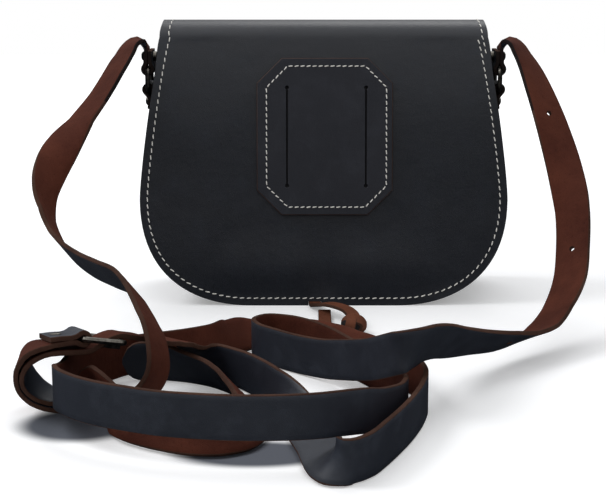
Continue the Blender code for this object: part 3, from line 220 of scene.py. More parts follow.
SHORT_FREE_ROUTE = [
    (-113.9, -1.9, 163.4, 0.03, -1, 0), (-116.3, -3.1, 165.7, 0.1, -1, 0),
    (-119.2, -5.2, 166.1, 0.2, -0.98, 0), (-122.3, -8.8, 164.2, 0.35, -0.94, 0),
    (-125.8, -15, 158.9, 0.46, -0.88, 0), (-130.5, -27, 150, 0.6, -0.78, 0.1),
    (-138, -39, 137, 0.7, -0.65, 0.2), (-149, -53, 122, 0.82, -0.5, 0.2), (-158, -66, 109, 0.9, -0.1, -0.1),
    (-164, -79, 97, 0.76, 0.45, -0.35), (-166.5, -91, 86, 0.5, 0.65, -0.48),
    (-164, -102, 72.5, 0.24, 0.75, -0.57), (-157, -114, 62, 0.25, 0.72, -0.6),
    (-148.4, -128, 56.8, 0.38, 0.57, -0.72), (-134.7, -148, 53.2, 0.49, 0.4, -0.78),
    (-121.5, -168, 53, 0.49, 0.39, -0.78), (-108.7, -188, 53.3, 0.5, 0.4, -0.77),
    (-98.1, -215, 50, 0.48, 0.45, -0.76), (-92, -232, 45.9, 0.42, 0.62, -0.67),
    (-88, -242, 41.9, 0.35, 0.77, -0.53), (-85.6, -248.7, 36.4, 0.34, 0.84, -0.43),
    (-84.4, -253, 30.6, 0.35, 0.85, -0.38), (-84.5, -255, 25, 0.35, 0.85, -0.35),
    (-86.4, -255.5, 19.6, 0.34, 0.85, -0.38), (-90, -254.7, 14.3, 0.32, 0.85, -0.41),
    (-95, -252, 9.7, 0.28, 0.9, -0.35), (-101.5, -247.3, 5.8, 0.2, 0.95, -0.2),
    (-110, -243.7, 2.7, 0.1, 0.99, -0.08), (-120, -242, 1.5, 0, 1, 0), (-129, -241.5, 1.4, 0, 1, 0),
    (-137, -241.5, 1.9, 0, 1, 0), (-144, -242.6, 4.3, 0.1, 1, 0), (-150, -244.2, 8.8, 0.15, 1, 0),
    (-154, -246.5, 15, 0.1, 1, 0), (-155.4, -249.5, 21.5, 0, 1, -0.03),
    (-154.2, -252, 28.4, -0.1, 1, -0.07), (-149.6, -253.2, 34.2, -0.25, 0.97, -0.12),
]
THONG_ROUTE = [
    (-4, -28, 1.45, 1, 0, 0), (-4, -38, 1.45, 1, 0, 0), (-3.4, -46, 1.7, 1, 0.1, 0),
    (-1, -55, 4.5, 0.9, 0.3, 0), (4, -65, 7.5, 0.8, 0.5, 0), (11, -76, 9, 0.75, 0.55, 0),
    (16.5, -84.5, 8.6, 0.85, 0.45, 0), (19, -90.5, 7.2, 0.97, 0.2, 0), (19.6, -94.6, 5.7, 1, 0, 0),
]
THONG_TAIL_ROUTE = [
    (10.1, -106.4, 3.2, 0, 1, 0), (7.2, -106.1, 2.4, 0.2, 0.98, 0), (4.5, -104.3, 1.8, 0.7, 0.7, 0),
    (2.6, -101, 1.6, 0.95, 0.3, 0), (2.2, -96, 1.5, 1, 0.05, 0), (2, -84, 1.5, 1, 0, 0),
    (2, -70, 1.5, 1, 0, 0), (2, -60, 1.5, 1, 0, 0),
]


def fill(tree, node, inputs):
    """Sets a node's inputs: each one to a plain value, or linked from a socket."""
    for name, value in dict(inputs).items():
        socket = node.inputs[name]
        if isinstance(value, bpy.types.NodeSocket):
            tree.links.new(value, socket)
        else:
            socket.default_value = (*value, 1.0) if socket.type == "RGBA" else value


def add_node(tree, kind, inputs=(), **settings):
    """Adds a shader node with its settings and inputs."""
    node = tree.nodes.new("ShaderNode" + kind)
    for name, value in settings.items():
        setattr(node, name, value)
    fill(tree, node, inputs)
    return node


def shader_tree(name):
    made = bpy.data.materials.new(name)
    made.use_nodes = True
    return made, made.node_tree, made.node_tree.nodes["Principled BSDF"]


def object_place(tree):
    return add_node(tree, "TexCoord").outputs["Object"]


def noise_field(tree, source, scale, detail, rough=0.55):
    inputs = {"Scale": scale, "Detail": detail, "Roughness": rough, "Vector": source}
    return add_node(tree, "TexNoise", inputs).outputs["Fac"]


def colour_ramp(tree, factor, *stops):
    """A colour ramp of two stops, each a place and a colour."""
    node = add_node(tree, "ValToRGB", {"Fac": factor})
    for element, (place, colour) in zip(node.color_ramp.elements, stops):
        element.position = place
        element.color = (*colour, 1.0)
    return node.outputs["Color"]


def colour_mix(tree, factor, first, second):
    return add_node(tree, "Mix", {0: factor, 6: first, 7: second}, data_type="RGBA").outputs[2]


def spread_range(tree, value, low, high):
    node = add_node(tree, "MapRange", {"Value": value, "To Min": low, "To Max": high})
    return node.outputs["Result"]


def bump_chain(tree, *layers):
    """Several height fields, each with its depth in metres, as one chain of bumps."""
    inputs = {"Strength": 1.0}
    for height, depth in layers:
        node = add_node(tree, "Bump", {**inputs, "Distance": depth, "Height": height})
        inputs["Normal"] = node.outputs["Normal"]
    return inputs["Normal"]


def scaled(colour, factor):
    return tuple(value * factor for value in colour)


def grain_leather(name, low, high, roughness, specular, cloud):
    """Waxed, smooth navy leather: cloudy colour, pores, fine creases and a broken sheen."""
    made, tree, shader = shader_tree(name)
    place = object_place(tree)
    clouds = noise_field(tree, place, cloud, 6.0, 0.6)
    base = colour_ramp(tree, clouds, (0.3, low), (0.7, high))
    rubs = noise_field(tree, place, 55.0, 5.0, 0.7)
    rubbed = colour_ramp(tree, rubs, (0.5, BLACK), (0.75, WHITE))
    cells = add_node(tree, "TexVoronoi", {"Scale": 1400.0, "Vector": place}, feature="DISTANCE_TO_EDGE")
    fine = noise_field(tree, place, 2600.0, 3.0)
    broad = noise_field(tree, place, 42.0, 4.0)
    fill(tree, shader, {
        "Base Color": colour_mix(tree, rubbed, base, scaled(high, 1.3)),
        "Roughness": spread_range(tree, rubs, roughness - 0.05, roughness + 0.09),
        "Specular IOR Level": specular,
        "Normal": bump_chain(tree, (broad, 0.0004), (cells.outputs["Distance"], 0.0001), (fine, 0.00005)),
    })
    return made


def flesh_leather(name, low, high):
    """Rough leather inside or cut edge: fibres, specks and soft stains."""
    made, tree, shader = shader_tree(name)
    place = object_place(tree)
    clouds = noise_field(tree, place, 26.0, 6.0, 0.65)
    base = colour_ramp(tree, clouds, (0.3, low), (0.72, high))
    stretched = add_node(tree, "Mapping", {"Scale": (1.0, 1.0, 0.35), "Vector": place})
    fibres = noise_field(tree, stretched.outputs["Vector"], 900.0, 6.0, 0.75)
    specks = colour_ramp(tree, fibres, (0.28, WHITE), (0.42, BLACK))
    fill(tree, shader, {
        "Base Color": colour_mix(tree, specks, base, scaled(low, 0.55)),
        "Roughness": 0.85,
        "Specular IOR Level": 0.1,
        "Normal": bump_chain(tree, (fibres, 0.00035), (clouds, 0.0005)),
    })
    return made


def metal_surface(name, colour):
    """Blackened metal, rubbed bright in places."""
    made, tree, shader = shader_tree(name)
    spots = noise_field(tree, object_place(tree), 260.0, 5.0, 0.7)
    fill(tree, shader, {
        "Base Color": colour_ramp(tree, spots, (0.42, colour), (0.7, scaled(colour, 2.6))),
        "Metallic": 1.0,
        "Roughness": spread_range(tree, spots, 0.24, 0.46),
        "Normal": bump_chain(tree, (spots, 0.00006)),
    })
    return made


def thread_surface(name, colour):
    """Waxed white thread with a fine twist."""
    made, tree, shader = shader_tree(name)
    twist = noise_field(tree, object_place(tree), 1500.0, 2.0)
    fill(tree, shader, {
        "Base Color": colour_ramp(tree, twist, (0.35, scaled(colour, 0.7)), (0.6, colour)),
        "Roughness": 0.7,
        "Normal": bump_chain(tree, (twist, 0.0001)),
    })
    return made


BAG_GRAIN = grain_leather("bag_grain", (0.0026, 0.0048, 0.0108), (0.0039, 0.0067, 0.0138), 0.38, 0.66, 7.0)
PATCH_GRAIN = grain_leather("patch_grain", (0.0135, 0.0152, 0.0225), (0.0175, 0.0192, 0.027), 0.5, 0.4, 14.0)
STRAP_GRAIN = grain_leather("strap_grain", (0.0135, 0.0172, 0.0275), (0.0215, 0.0262, 0.038), 0.48, 0.5, 20.0)
STRAP_FLESH = flesh_leather("strap_flesh", (0.048, 0.0125, 0.0078), (0.106, 0.031, 0.018))
THONG_FLESH = flesh_leather("thong_flesh", (0.07, 0.023, 0.013), (0.17, 0.06, 0.033))
# Painted shade: the thong's flesh made near black for its underside and the knot's core
THONG_PAINTED_SHADE = flesh_leather("thong_painted_shade", (0.008, 0.008, 0.01), (0.022, 0.017, 0.016))
BAG_FLESH = flesh_leather("bag_flesh", (0.035, 0.016, 0.011), (0.07, 0.035, 0.024))
RAW_EDGE = flesh_leather("raw_edge", (0.032, 0.0145, 0.01), (0.085, 0.042, 0.029))
DARK_EDGE = flesh_leather("dark_edge", (0.008, 0.006, 0.006), (0.022, 0.014, 0.012))
# Painted shade: near black for the walls of the patch's slits
SLIT_PAINTED_SHADE = flesh_leather("slit_painted_shade", (0.003, 0.003, 0.004), (0.007, 0.006, 0.007))
PATCH_EDGE = flesh_leather("patch_edge", (0.04, 0.022, 0.017), (0.08, 0.045, 0.034))
GUNMETAL = metal_surface("gunmetal", (0.1, 0.093, 0.082))
THREAD = thread_surface("white_thread", (0.88, 0.86, 0.8))

# Materials by number: a sheet's outer face, inner face, rim; a band's lower face, upper face, cut edges
SHEET_SURFACES = (BAG_GRAIN, BAG_FLESH, DARK_EDGE)
STRAP_SURFACES = (STRAP_GRAIN, STRAP_FLESH, RAW_EDGE, DARK_EDGE)
# A thong's lower face is painted shade
THONG_SURFACES = (THONG_PAINTED_SHADE, THONG_FLESH, RAW_EDGE)
TAB_SURFACES = (BAG_FLESH, BAG_GRAIN, DARK_EDGE)


def linked(name, data):
    made = bpy.data.objects.new(name, data)
    bpy.context.scene.collection.objects.link(made)
    return made


def new_object(name, data, body="body"):
    made = linked(name, data)
    if body:
        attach(made, body)
    return made


def mesh_data(name, builder, surfaces):
    """Mesh data from a builder of closed shapes, faces turned outwards. The builder is freed."""
    bmesh.ops.recalc_face_normals(builder, faces=builder.faces)
    if builder.calc_volume(signed=True) < 0:
        bmesh.ops.reverse_faces(builder, faces=builder.faces)
    data = bpy.data.meshes.new(name)
    builder.to_mesh(data)
    builder.free()
    for surface in surfaces:
        data.materials.append(surface)
    return data


def evaluated_mesh(item):
    """An object's mesh with its modifiers or its curve settings applied."""
    bpy.context.view_layer.update()
    shape = item.evaluated_get(bpy.context.evaluated_depsgraph_get())
    return bpy.data.meshes.new_from_object(shape)


def smooth_data(data, angle):
    data.shade_smooth()
    data.set_sharp_from_angle(angle=radians(angle))


def cubic(points, steps):
    """Points along a cubic curve through the plane, without its first."""
    made = []
    for step in range(1, steps + 1):
        t = step / steps
        weights = ((1 - t) ** 3, 3 * t * (1 - t) ** 2, 3 * t * t * (1 - t), t ** 3)
        made.append(tuple(sum(w * p[axis] for w, p in zip(weights, points)) for axis in (0, 1)))
    return made


def arc(radius, start, sweep, steps):
    """Points round a centre, from an angle on through a sweep in degrees."""
    angles = [radians(start + sweep * step / steps) for step in range(steps + 1)]
    return [(radius * cos(angle), radius * sin(angle)) for angle in angles]


def half_outline(inset=0.0):
    """Right half of the saddle outline as (half width, height)."""
    half = HALF_WIDTH - inset
    base = (HALF_WIDTH * 0.398, inset)
    widest = (half, BAG_HEIGHT * 0.39)
    top = (HALF_WIDTH * 0.868 - inset, BAG_HEIGHT)
    corner = (base, (HALF_WIDTH * 0.745, inset), (half, BAG_HEIGHT * 0.125 + inset), widest)
    side = (widest, (half, BAG_HEIGHT * 0.49), (HALF_WIDTH * 0.91 - inset, BAG_HEIGHT * 0.93), top)
    return [base] + cubic(corner, 22) + cubic(side, 26)


def width_at(height, inset=0.0):
    """The outline's half width at a height."""
    points = half_outline(inset)
    for low, high in zip(points, points[1:]):
        if low[1] <= height <= high[1]:
            share = (height - low[1]) / max(high[1] - low[1], 1e-6)
            return low[0] + share * (high[0] - low[0])
    return points[-1][0] if height > points[-1][1] else points[0][0]


def with_neighbours(items):
    """Each item between the ones before and after it. At an end it is its own neighbour."""
    return zip(items[:1] + items[:-1], items, items[1:] + items[-1:])


def ease(value, low, high):
    """Goes softly from 0 at low to 1 at high."""
    t = min(1.0, max(0.0, (value - low) / (high - low)))
    return t * t * (3 - 2 * t)


def back_swell(x, z):
    """How far the back panel stands out at a place: soft unevenness away from the patch."""
    away = max(ease(abs(x), 0.046, 0.085), ease(abs(z - 0.108), 0.052, 0.09))
    wave = noise.noise(Vector((x * 14, z * 11, 0.3))) * 0.0009
    low = 0.0012 * ease(z, 0.0, 0.03) * (1 - ease(z, 0.03, 0.085)) * (1 - ease(abs(x), 0.05, 0.11))
    rim = ease(HALF_WIDTH - abs(x), 0.0, 0.012) * ease(z, 0.0, 0.012)
    crease = -0.0009 * exp(-((x - 0.002) / 0.008) ** 2) * exp(-((z - 0.02) / 0.018) ** 2)
    return away * rim * (wave + low) + crease * rim


def front_swell(x, z):
    """The same for the flap, fuller in its middle."""
    rim = ease(HALF_WIDTH - abs(x), 0.0, 0.03) * ease(z, 0.004, 0.04) * (1 - ease(z, 0.15, 0.172))
    wave = noise.noise(Vector((x * 13, z * 12, 7.7))) * 0.0008
    return rim * (0.0016 + wave)


def back_y(z):
    """The back panel's outer face, which bends in towards the fold over its top third."""
    share = max(0.0, (z - 0.108) / (BAG_HEIGHT - 0.108))
    return BACK_Y + LEAN * z + 0.0042 * share * share


def front_y(z):
    """The front panel's outer face."""
    return FRONT_Y - LEAN * z


def flap_y(z):
    """The flap's outer face."""
    return front_y(z) + FIT + FLAP_LEATHER


def cover_path():
    """The back panel, the fold over the top and the flap, as rows of (half width, y, z, part)."""
    rows = []
    for half, z in half_outline():
        if z <= BAG_HEIGHT - 0.0035:
            rows.append((half + TOP_SPREAD * ease(z, 0.145, 0.172), back_y(z), z, "back"))
    low = BAG_HEIGHT - 0.002
    high = BAG_HEIGHT - FRONT_DROP / 2
    rise = FLAP_RISE * 1.25
    start = (back_y(low), low)
    end = (flap_y(high), high)
    points = (start, (start[0] + rise * 0.3, low + rise), (end[0] - rise * LEAN, high + rise * 1.1), end)
    for step, (y, z) in enumerate([start] + cubic(points, FOLD_STEPS)):
        share = step / FOLD_STEPS
        half = width_at(BAG_HEIGHT - 0.002 * (1 - ease(share, 0.0, 0.3))) + TOP_SPREAD
        rows.append((half - FOLD_DRAW * ease(share, 0.1, 0.5), y, z, "fold"))
    downs = [z for half, z in reversed(half_outline()) if HEM_HEIGHT + 0.001 < z < high - 0.001]
    for z in downs + [HEM_HEIGHT]:
        half = width_at(z) + (TOP_SPREAD - FOLD_DRAW) * ease(z, 0.14, 0.168)
        rows.append((half, flap_y(z), z, "front"))
    return rows


def make_sheet(name, outer, inner, edge_out=SHEET_EDGE_OUT, body="body"):
    """A leather sheet from two grids of points, its rim standing out a little."""
    builder = bmesh.new()
    count = len(outer)
    across = len(outer[0])
    top = [[builder.verts.new(p) for p in row] for row in outer]
    low = [[builder.verts.new(p) for p in row] for row in inner]
    for r in range(count - 1):
        for c in range(across - 1):
            builder.faces.new((top[r][c], top[r][c + 1], top[r + 1][c + 1], top[r + 1][c]))
            face = builder.faces.new((low[r][c], low[r + 1][c], low[r + 1][c + 1], low[r][c + 1]))
            face.material_index = 1
    ring = [(0, c) for c in range(across)] + [(r, across - 1) for r in range(1, count)]
    ring += [(count - 1, c) for c in range(across - 2, -1, -1)] + [(r, 0) for r in range(count - 2, 0, -1)]
    rim = []
    for r, c in ring:
        upper = top[r][c]
        lower = low[r][c]
        within = top[min(max(r, 1), count - 2)][min(max(c, 1), across - 2)]
        away = upper.co - within.co
        depth = (upper.co - lower.co).normalized()
        away = away - depth * away.dot(depth)
        away = away.normalized() if away.length > 1e-9 else Vector()
        rim.append((upper, builder.verts.new((upper.co + lower.co) / 2 + away * edge_out), lower))
    for (upper, middle, lower), (upper2, middle2, lower2) in zip(rim, rim[1:] + rim[:1]):
        for corners in ((upper, middle, middle2, upper2), (middle, lower, lower2, middle2)):
            builder.faces.new(corners).material_index = 2
    data = mesh_data(name, builder, SHEET_SURFACES)
    smooth_data(data, 50)
    return new_object(name, data, body)


def cut_out(made, builder, surface):
    """Cuts a closed shape out of a piece and frees the shape."""
    punch = linked("punch", mesh_data("punch", builder, (surface,)))
    cut = made.modifiers.new("punch", "BOOLEAN")
    cut.object = punch
    cut.solver = "EXACT"
    result = evaluated_mesh(made)
    made.modifiers.clear()
    made.data = result
    bpy.data.objects.remove(punch, do_unlink=True)


def cut_holes(made, places, radius, surface, depth=0.008):
    """Punches round holes through a piece at (point, direction) places."""
    for point, normal in places:
        builder = bmesh.new()
        turn = Matrix.Translation(point) @ normal.to_track_quat("Z", "Y").to_matrix().to_4x4()
        bmesh.ops.create_cone(
            builder, cap_ends=True, segments=24, radius1=radius, radius2=radius, depth=depth, matrix=turn
        )
        cut_out(made, builder, surface)


def cover_grids():
    """Outer and inner points of the cover, closer together towards its sides."""
    outer = []
    inner = []
    for before, (half, y, z, part), after in with_neighbours(cover_path()):
        along = Vector((0, after[1] - before[1], after[2] - before[2])).normalized()
        out = Vector((0, -along.z, along.y))
        thick = LEATHER if part == "back" else FLAP_LEATHER
        upper = []
        for step in range(SHEET_COLUMNS + 1):
            share = 2 * step / SHEET_COLUMNS - 1
            share = sin(share * pi / 2) * 0.35 + share * 0.65
            x = share * half
            swell = 0.0
            if part == "back":
                swell = back_swell(x, z)
            elif part == "front":
                swell = front_swell(x, z)
            upper.append(Vector((x, y, z)) + out * swell)
        outer.append(upper)
        inner.append([place - out * thick for place in upper])
    return outer, inner


def make_cover():
    """The back panel and the flap are one sheet here: the fold between them shows no seam."""
    cover = make_sheet("bag_cover", *cover_grids(), body=None)
    stud_place = Vector((0, front_y(STUD_HEIGHT) + FLAP_LEATHER / 2, STUD_HEIGHT))
    cut_holes(cover, [(stud_place, Vector((0, 1, LEAN)).normalized())], STUD_HOLE, DARK_EDGE, 0.014)
    builder = bmesh.new()
    spread = Matrix.Diagonal((THONG_WIDTH + FIT, 4 * LEATHER, 2 * (THONG_LEATHER + 2 * FIT), 1))
    notch_place = Matrix.Translation((-0.004 + PILE_OFFSET, BACK_Y + LEATHER / 2, 0))
    bmesh.ops.create_cube(builder, size=1.0, matrix=notch_place @ spread)
    cut_out(cover, builder, DARK_EDGE)
    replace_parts(cover, "back_panel", "flap")
    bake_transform(cover)


def make_front():
    outline = [p for p in half_outline() if p[1] <= BAG_HEIGHT - FRONT_DROP]
    shares = [2 * step / FRONT_COLUMNS - 1 for step in range(FRONT_COLUMNS + 1)]
    outer = [[Vector((half * share, front_y(z), z)) for share in shares] for half, z in outline]
    inner = [[p - Vector((0, LEATHER, 0)) for p in row] for row in outer]
    front = make_sheet("front_leather", outer, inner)
    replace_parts(front, "front_panel")


def make_gusset():
    """The side and base strip, drawn in a little between the panels below the ring tabs."""
    half = half_outline(GUSSET_INSET)
    top_z = BAG_HEIGHT - FRONT_DROP - FIT
    right = [p for p in half if p[1] < top_z] + [(width_at(top_z, GUSSET_INSET), top_z)]
    path = [(-x, z) for x, z in reversed(right)] + right
    outer = []
    inner = []
    for before, (x, z), after in with_neighbours(path):
        along = Vector((after[0] - before[0], 0, after[1] - before[1])).normalized()
        push = Vector((-along.z, 0, along.x))
        back = back_y(z) + LEATHER + FIT
        front = front_y(z) - LEATHER - FIT
        pinch = 0.0028 * ease(z, 0.012, 0.05) * (1 - ease(z, 0.085, 0.118))
        row = []
        for step in range(GUSSET_COLUMNS + 1):
            t = step / GUSSET_COLUMNS
            fold = push * (pinch * sin(pi * t) ** 2)
            row.append(Vector((x, back + (front - back) * t, z)) + fold)
        outer.append(row)
        inner.append([p + push * GUSSET_LEATHER for p in row])
    gusset = make_sheet("gusset_leather", outer, inner, 0.0)
    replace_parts(gusset, "gusset")


def octagon(half_width, half_height, chamfer):
    corners = [(half_width - chamfer, -half_height), (half_width, chamfer - half_height)]
    corners += [(x, -z) for x, z in reversed(corners)]
    return corners + [(-x, z) for x, z in reversed(corners)]


def slit_outline(centre_x):
    """A thin cut with a punched round hole at each end."""
    made = []
    for end in (1, -1):
        side = centre_x + end * SLIT_HALF
        reach = end * (SLIT_LENGTH / 2 - SLIT_HOLE)
        made += [(side, -reach), (side, reach)]
        hole = arc(SLIT_HOLE, 30 - 90 * end, 300, 12)
        made += [(centre_x + x, end * SLIT_LENGTH / 2 + z) for x, z in hole]
    return made


def make_patch():
    """The belt patch: an octagon with rounded edges and two slits, laid against the back panel. Painted shade
    darkens the slit walls.
    """
    curve = bpy.data.curves.new("belt_patch_curve", "CURVE")
    curve.dimensions = "2D"
    curve.fill_mode = "BOTH"
    curve.bevel_depth = PATCH_ROUND
    curve.bevel_resolution = 2
    curve.extrude = PATCH_THICK / 2 - PATCH_ROUND
    for loop in (octagon(*PATCH_SHAPE), slit_outline(SEAM_SHIFT - SLIT_X), slit_outline(SEAM_SHIFT + SLIT_X)):
        spline = curve.splines.new("POLY")
        spline.points.add(len(loop) - 1)
        for place, (x, z) in zip(spline.points, loop):
            place.co = (x, z, 0.0, 1.0)
        spline.use_cyclic_u = True
    holder = linked("belt_patch_curve", curve)
    data = evaluated_mesh(holder)
    bpy.data.objects.remove(holder, do_unlink=True)
    stand = Matrix.Rotation(pi / 2, 4, "X")
    place = Matrix.Translation(PATCH_CENTRE) @ Matrix.Rotation(-PATCH_TILT, 4, "X")
    data.transform(place @ Matrix.Translation((0, -PATCH_THICK / 2, 0)) @ stand)
    data.materials.clear()
    for surface in (PATCH_GRAIN, PATCH_EDGE, SLIT_PAINTED_SHADE):
        data.materials.append(surface)
    # Faces round the slits take the painted shade, so the slits read as dark recesses
    for face in data.polygons:
        off = face.center - PATCH_CENTRE
        in_slit = abs(abs(off.x - SEAM_SHIFT) - SLIT_X) < 0.004 and abs(off.z) < 0.036
        face.material_index = 2 if in_slit else 1
        if face.normal.dot(PATCH_OUT) > 0.95:
            face.material_index = 0
    data.update()
    smooth_data(data, 30)
    patch = new_object("patch_leather", data)
    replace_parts(patch, "belt_patch")


def runs_along(points):
    """How far along a line each point lies."""
    runs = [0.0]
    for a, b in zip(points, points[1:]):
        runs.append(runs[-1] + (b - a).length)
    return runs


def even_places(points, pitch):
    """Places a pitch apart along a line of points, with the line's direction there."""
    runs = runs_along(points)
    count = max(1, round(runs[-1] / pitch))
    step = runs[-1] / count
    made = []
    index = 0
    for number in range(count):
        target = (number + 0.5) * step
        while runs[index + 1] < target:
            index += 1
        share = (target - runs[index]) / max(runs[index + 1] - runs[index], 1e-9)
        along = (points[index + 1] - points[index]).normalized()
        made.append((points[index].lerp(points[index + 1], share), along))
    return made


def bridge(builder, rings):
    """Joins rings of points by faces and closes both ends. Side faces come with their row and column."""
    made = []
    for row, (low, high) in enumerate(zip(rings, rings[1:])):
        for column in range(len(low)):
            after = (column + 1) % len(low)
            face = builder.faces.new((low[column], low[after], high[after], high[column]))
            made.append((face, row, column))
    ends = [builder.faces.new(ring) for ring in (list(reversed(rings[0])), rings[-1])]
    return made, ends


def stitch_row(name, line, outward, body="body", sizes=EDGE_STITCHES):
    """White saddle stitches along a line on a surface. outward gives the surface's direction."""
    pitch, length = sizes
    builder = bmesh.new()
    for number, (place, along) in enumerate(even_places(line, pitch)):
        out = outward(place).normalized()
        side = out.cross(along).normalized()
        lean = STITCH_SLANT + noise.noise(Vector((number * 1.7, len(name), 0.5))) * 0.05
        run = (along * cos(lean) + side * sin(lean)).normalized()
        cross = out.cross(run).normalized()
        rings = []
        for share, size, lift in STITCH_SHAPE:
            centre = place + run * (share * length) + out * (lift * STITCH_RADIUS)
            ring = []
            for aside, up in arc(STITCH_RADIUS * size, 0, 360, STITCH_SIDES)[:-1]:
                ring.append(builder.verts.new(centre + cross * aside + out * up))
            rings.append(ring)
        bridge(builder, rings)
    data = mesh_data(name, builder, (THREAD,))
    data.shade_smooth()
    return new_object(name, data, body)


def inset_outline(top):
    """The outline moved in to the stitches, from the left top round the base to the right top."""
    points = [Vector((0.0, 0.0)), Vector((0.02, 0.0))] + [Vector((x, z)) for x, z in half_outline()]
    moved = []
    for before, point, after in with_neighbours(points):
        along = (after - before).normalized()
        moved.append(point + Vector((-along.y, along.x)) * STITCH_INSET)
    moved = [p for p in moved if p.y <= top]
    return [Vector((-p.x, p.y)) for p in reversed(moved[1:])] + moved


def sew_back():
    line = []
    for x, z in inset_outline(BAG_HEIGHT + 0.001):
        if x <= 0 or z <= 0.169:
            line.append(Vector((x, back_y(z) - back_swell(x, z), z)))
    stitch_row("back_stitches", line, lambda place: Vector((0, -1, LEAN)))


def sew_patch():
    up = Vector((0, sin(PATCH_TILT), cos(PATCH_TILT)))
    face = PATCH_CENTRE + PATCH_OUT * PATCH_THICK
    spots = [face + Vector((x + SEAM_SHIFT, 0, 0)) + up * z for x, z in octagon(*PATCH_SEAM)]
    for number, line in enumerate(zip(spots, spots[1:] + spots[:1])):
        stitch_row(f"patch_stitches_{number}", line, lambda place: PATCH_OUT, sizes=PATCH_STITCHES)


def sew_flap():
    """One row down the flap's left side, along its hem and up its right side."""
    level = HEM_HEIGHT + STITCH_INSET
    reach = width_at(HEM_HEIGHT) - STITCH_INSET
    sides = [(x, z) for x, z in inset_outline(0.162) if z >= level - 0.0005]
    left = [(x, z) for x, z in sides if x < -reach - 0.002]
    right = [(x, z) for x, z in sides if x > reach + 0.002]
    hem = [(-reach + 2 * reach * step / 20, level) for step in range(21)]
    line = [Vector((x, flap_y(z) + front_swell(x, z), z)) for x, z in left + hem + right]
    stitch_row("flap_stitches", line, lambda place: Vector((0, 1, LEAN)), body="flap")


def sew_fold():
    """The edge rows over the fold, which bend with it. The right one starts lower on the back."""
    for sign, label in ((-1, "left"), (1, "right")):
        rows = []
        for half, y, z, part in cover_path():
            inset = STITCH_INSET + TOP_SPREAD * 0.6
            if sign > 0:
                inset = STITCH_INSET - 0.001 - 0.0008 * ease(BAG_HEIGHT - z, -0.004, 0.016)
            if part == "fold" or (sign > 0 and part == "back" and z > 0.157):
                rows.append(Vector((sign * (half - inset), y, z)))
        centre = Vector((0, (rows[0].y + rows[-1].y) / 2, BAG_HEIGHT - 0.006))
        bend = lambda place: Vector((0, place.y - centre.y, place.z - centre.z))
        seam = stitch_row(label + "_fold_stitches", rows, bend, body=None)
        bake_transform(seam)


def route_pairs(rows):
    """A route's places in metres, each with the direction of the band's width."""
    made = []
    for x, y, z, *across in rows:
        place = Vector((x, y, z)) / 1000 + Vector((PILE_OFFSET, 0, 0))
        made.append((place, Vector(across or (0, 0, 1)).normalized()))
    return made


def smooth_route(pairs, steps, width, thickness):
    """The CAD's smooth line, kept off the table, as rows of place, direction and width direction."""
    step, twist_step = steps
    leads = []
    for before, pair, after in with_neighbours(pairs):
        back = pair[0] - before[0]
        ahead = after[0] - pair[0]
        if back.length and ahead.length:
            blended = back.normalized() * ahead.length + ahead.normalized() * back.length
            leads.append(blended / (back.length + ahead.length))
        else:
            leads.append((back + ahead).normalized())
    samples = []
    for (p1, w1), (p2, w2), lead1, lead2 in zip(pairs, pairs[1:], leads, leads[1:]):
        span = (p2 - p1).length
        pieces = max(1, round(span / step), ceil(w1.angle(w2) / twist_step))
        for piece in range(pieces):
            t = piece / pieces
            point = p1 * ((1 + 2 * t) * (1 - t) ** 2) + p2 * (t * t * (3 - 2 * t))
            point = point + lead1 * (span * t * (1 - t) ** 2) - lead2 * (span * t * t * (1 - t))
            samples.append((point, w1.lerp(w2, t)))
    samples.append(pairs[-1])
    square = []
    for before, (point, across), after in with_neighbours(samples):
        along = (after[0] - before[0]).normalized()
        across = (across - along * across.dot(along)).normalized()
        reach = abs(across.z) * width / 2 + abs(along.cross(across).z) * thickness / 2
        square.append((Vector((point.x, point.y, max(point.z, reach + FIT))), along, across))
    return square


def band_section(width, thickness):
    """A band's section as (across, up, material): each flat side and the rounded cut edge after it."""
    cut = thickness * 0.16
    points = []
    for sign, flat in ((1, 1), (-1, 0)):
        for step in range(BAND_COLUMNS + 1):
            across = -width / 2 + cut + (width - 2 * cut) * step / BAND_COLUMNS
            points.append((sign * across, sign * thickness / 2, 2 if step == BAND_COLUMNS else flat))
        for inward, up in EDGE_ROUND:
            points.append((sign * (width / 2 - cut * inward), sign * thickness / 2 * up, 2))
    return points


def make_band(name, pairs, steps, width, thickness, surfaces, round_tip=False, wave=0.0, shaded_edge_run=0.0):
    """A flat band along a route: its mesh data, its rows, their places and how far along each lies."""
    square = smooth_route(pairs, steps, width, thickness)
    path = [point for point, along, across in square]
    runs = runs_along(path)
    section = band_section(width, thickness)
    builder = bmesh.new()
    rings = []
    for (point, along, across), run in zip(square, runs):
        normal = along.cross(across)
        tip = 1 - (runs[-1] - run) / (width / 2)
        narrow = max(0.12, sqrt(1 - tip ** 2)) if round_tip and tip > 0 else 1.0
        ring = []
        for sideways, up, index in section:
            cup = wave * noise.noise(Vector((run * 30, sideways * 40, len(name))))
            ring.append(builder.verts.new(point + across * (sideways * narrow) + normal * (up + cup)))
        rings.append(ring)
    sides, ends = bridge(builder, rings)
    for face, row, column in sides:
        index = section[column][2]
        # Cut edges near the band's start are painted dark as shade
        face.material_index = 3 if index == 2 and runs[row] < shaded_edge_run else index
    for face in ends:
        face.material_index = 2
    data = mesh_data(name, builder, surfaces)
    smooth_data(data, 40)
    return data, square, path, runs


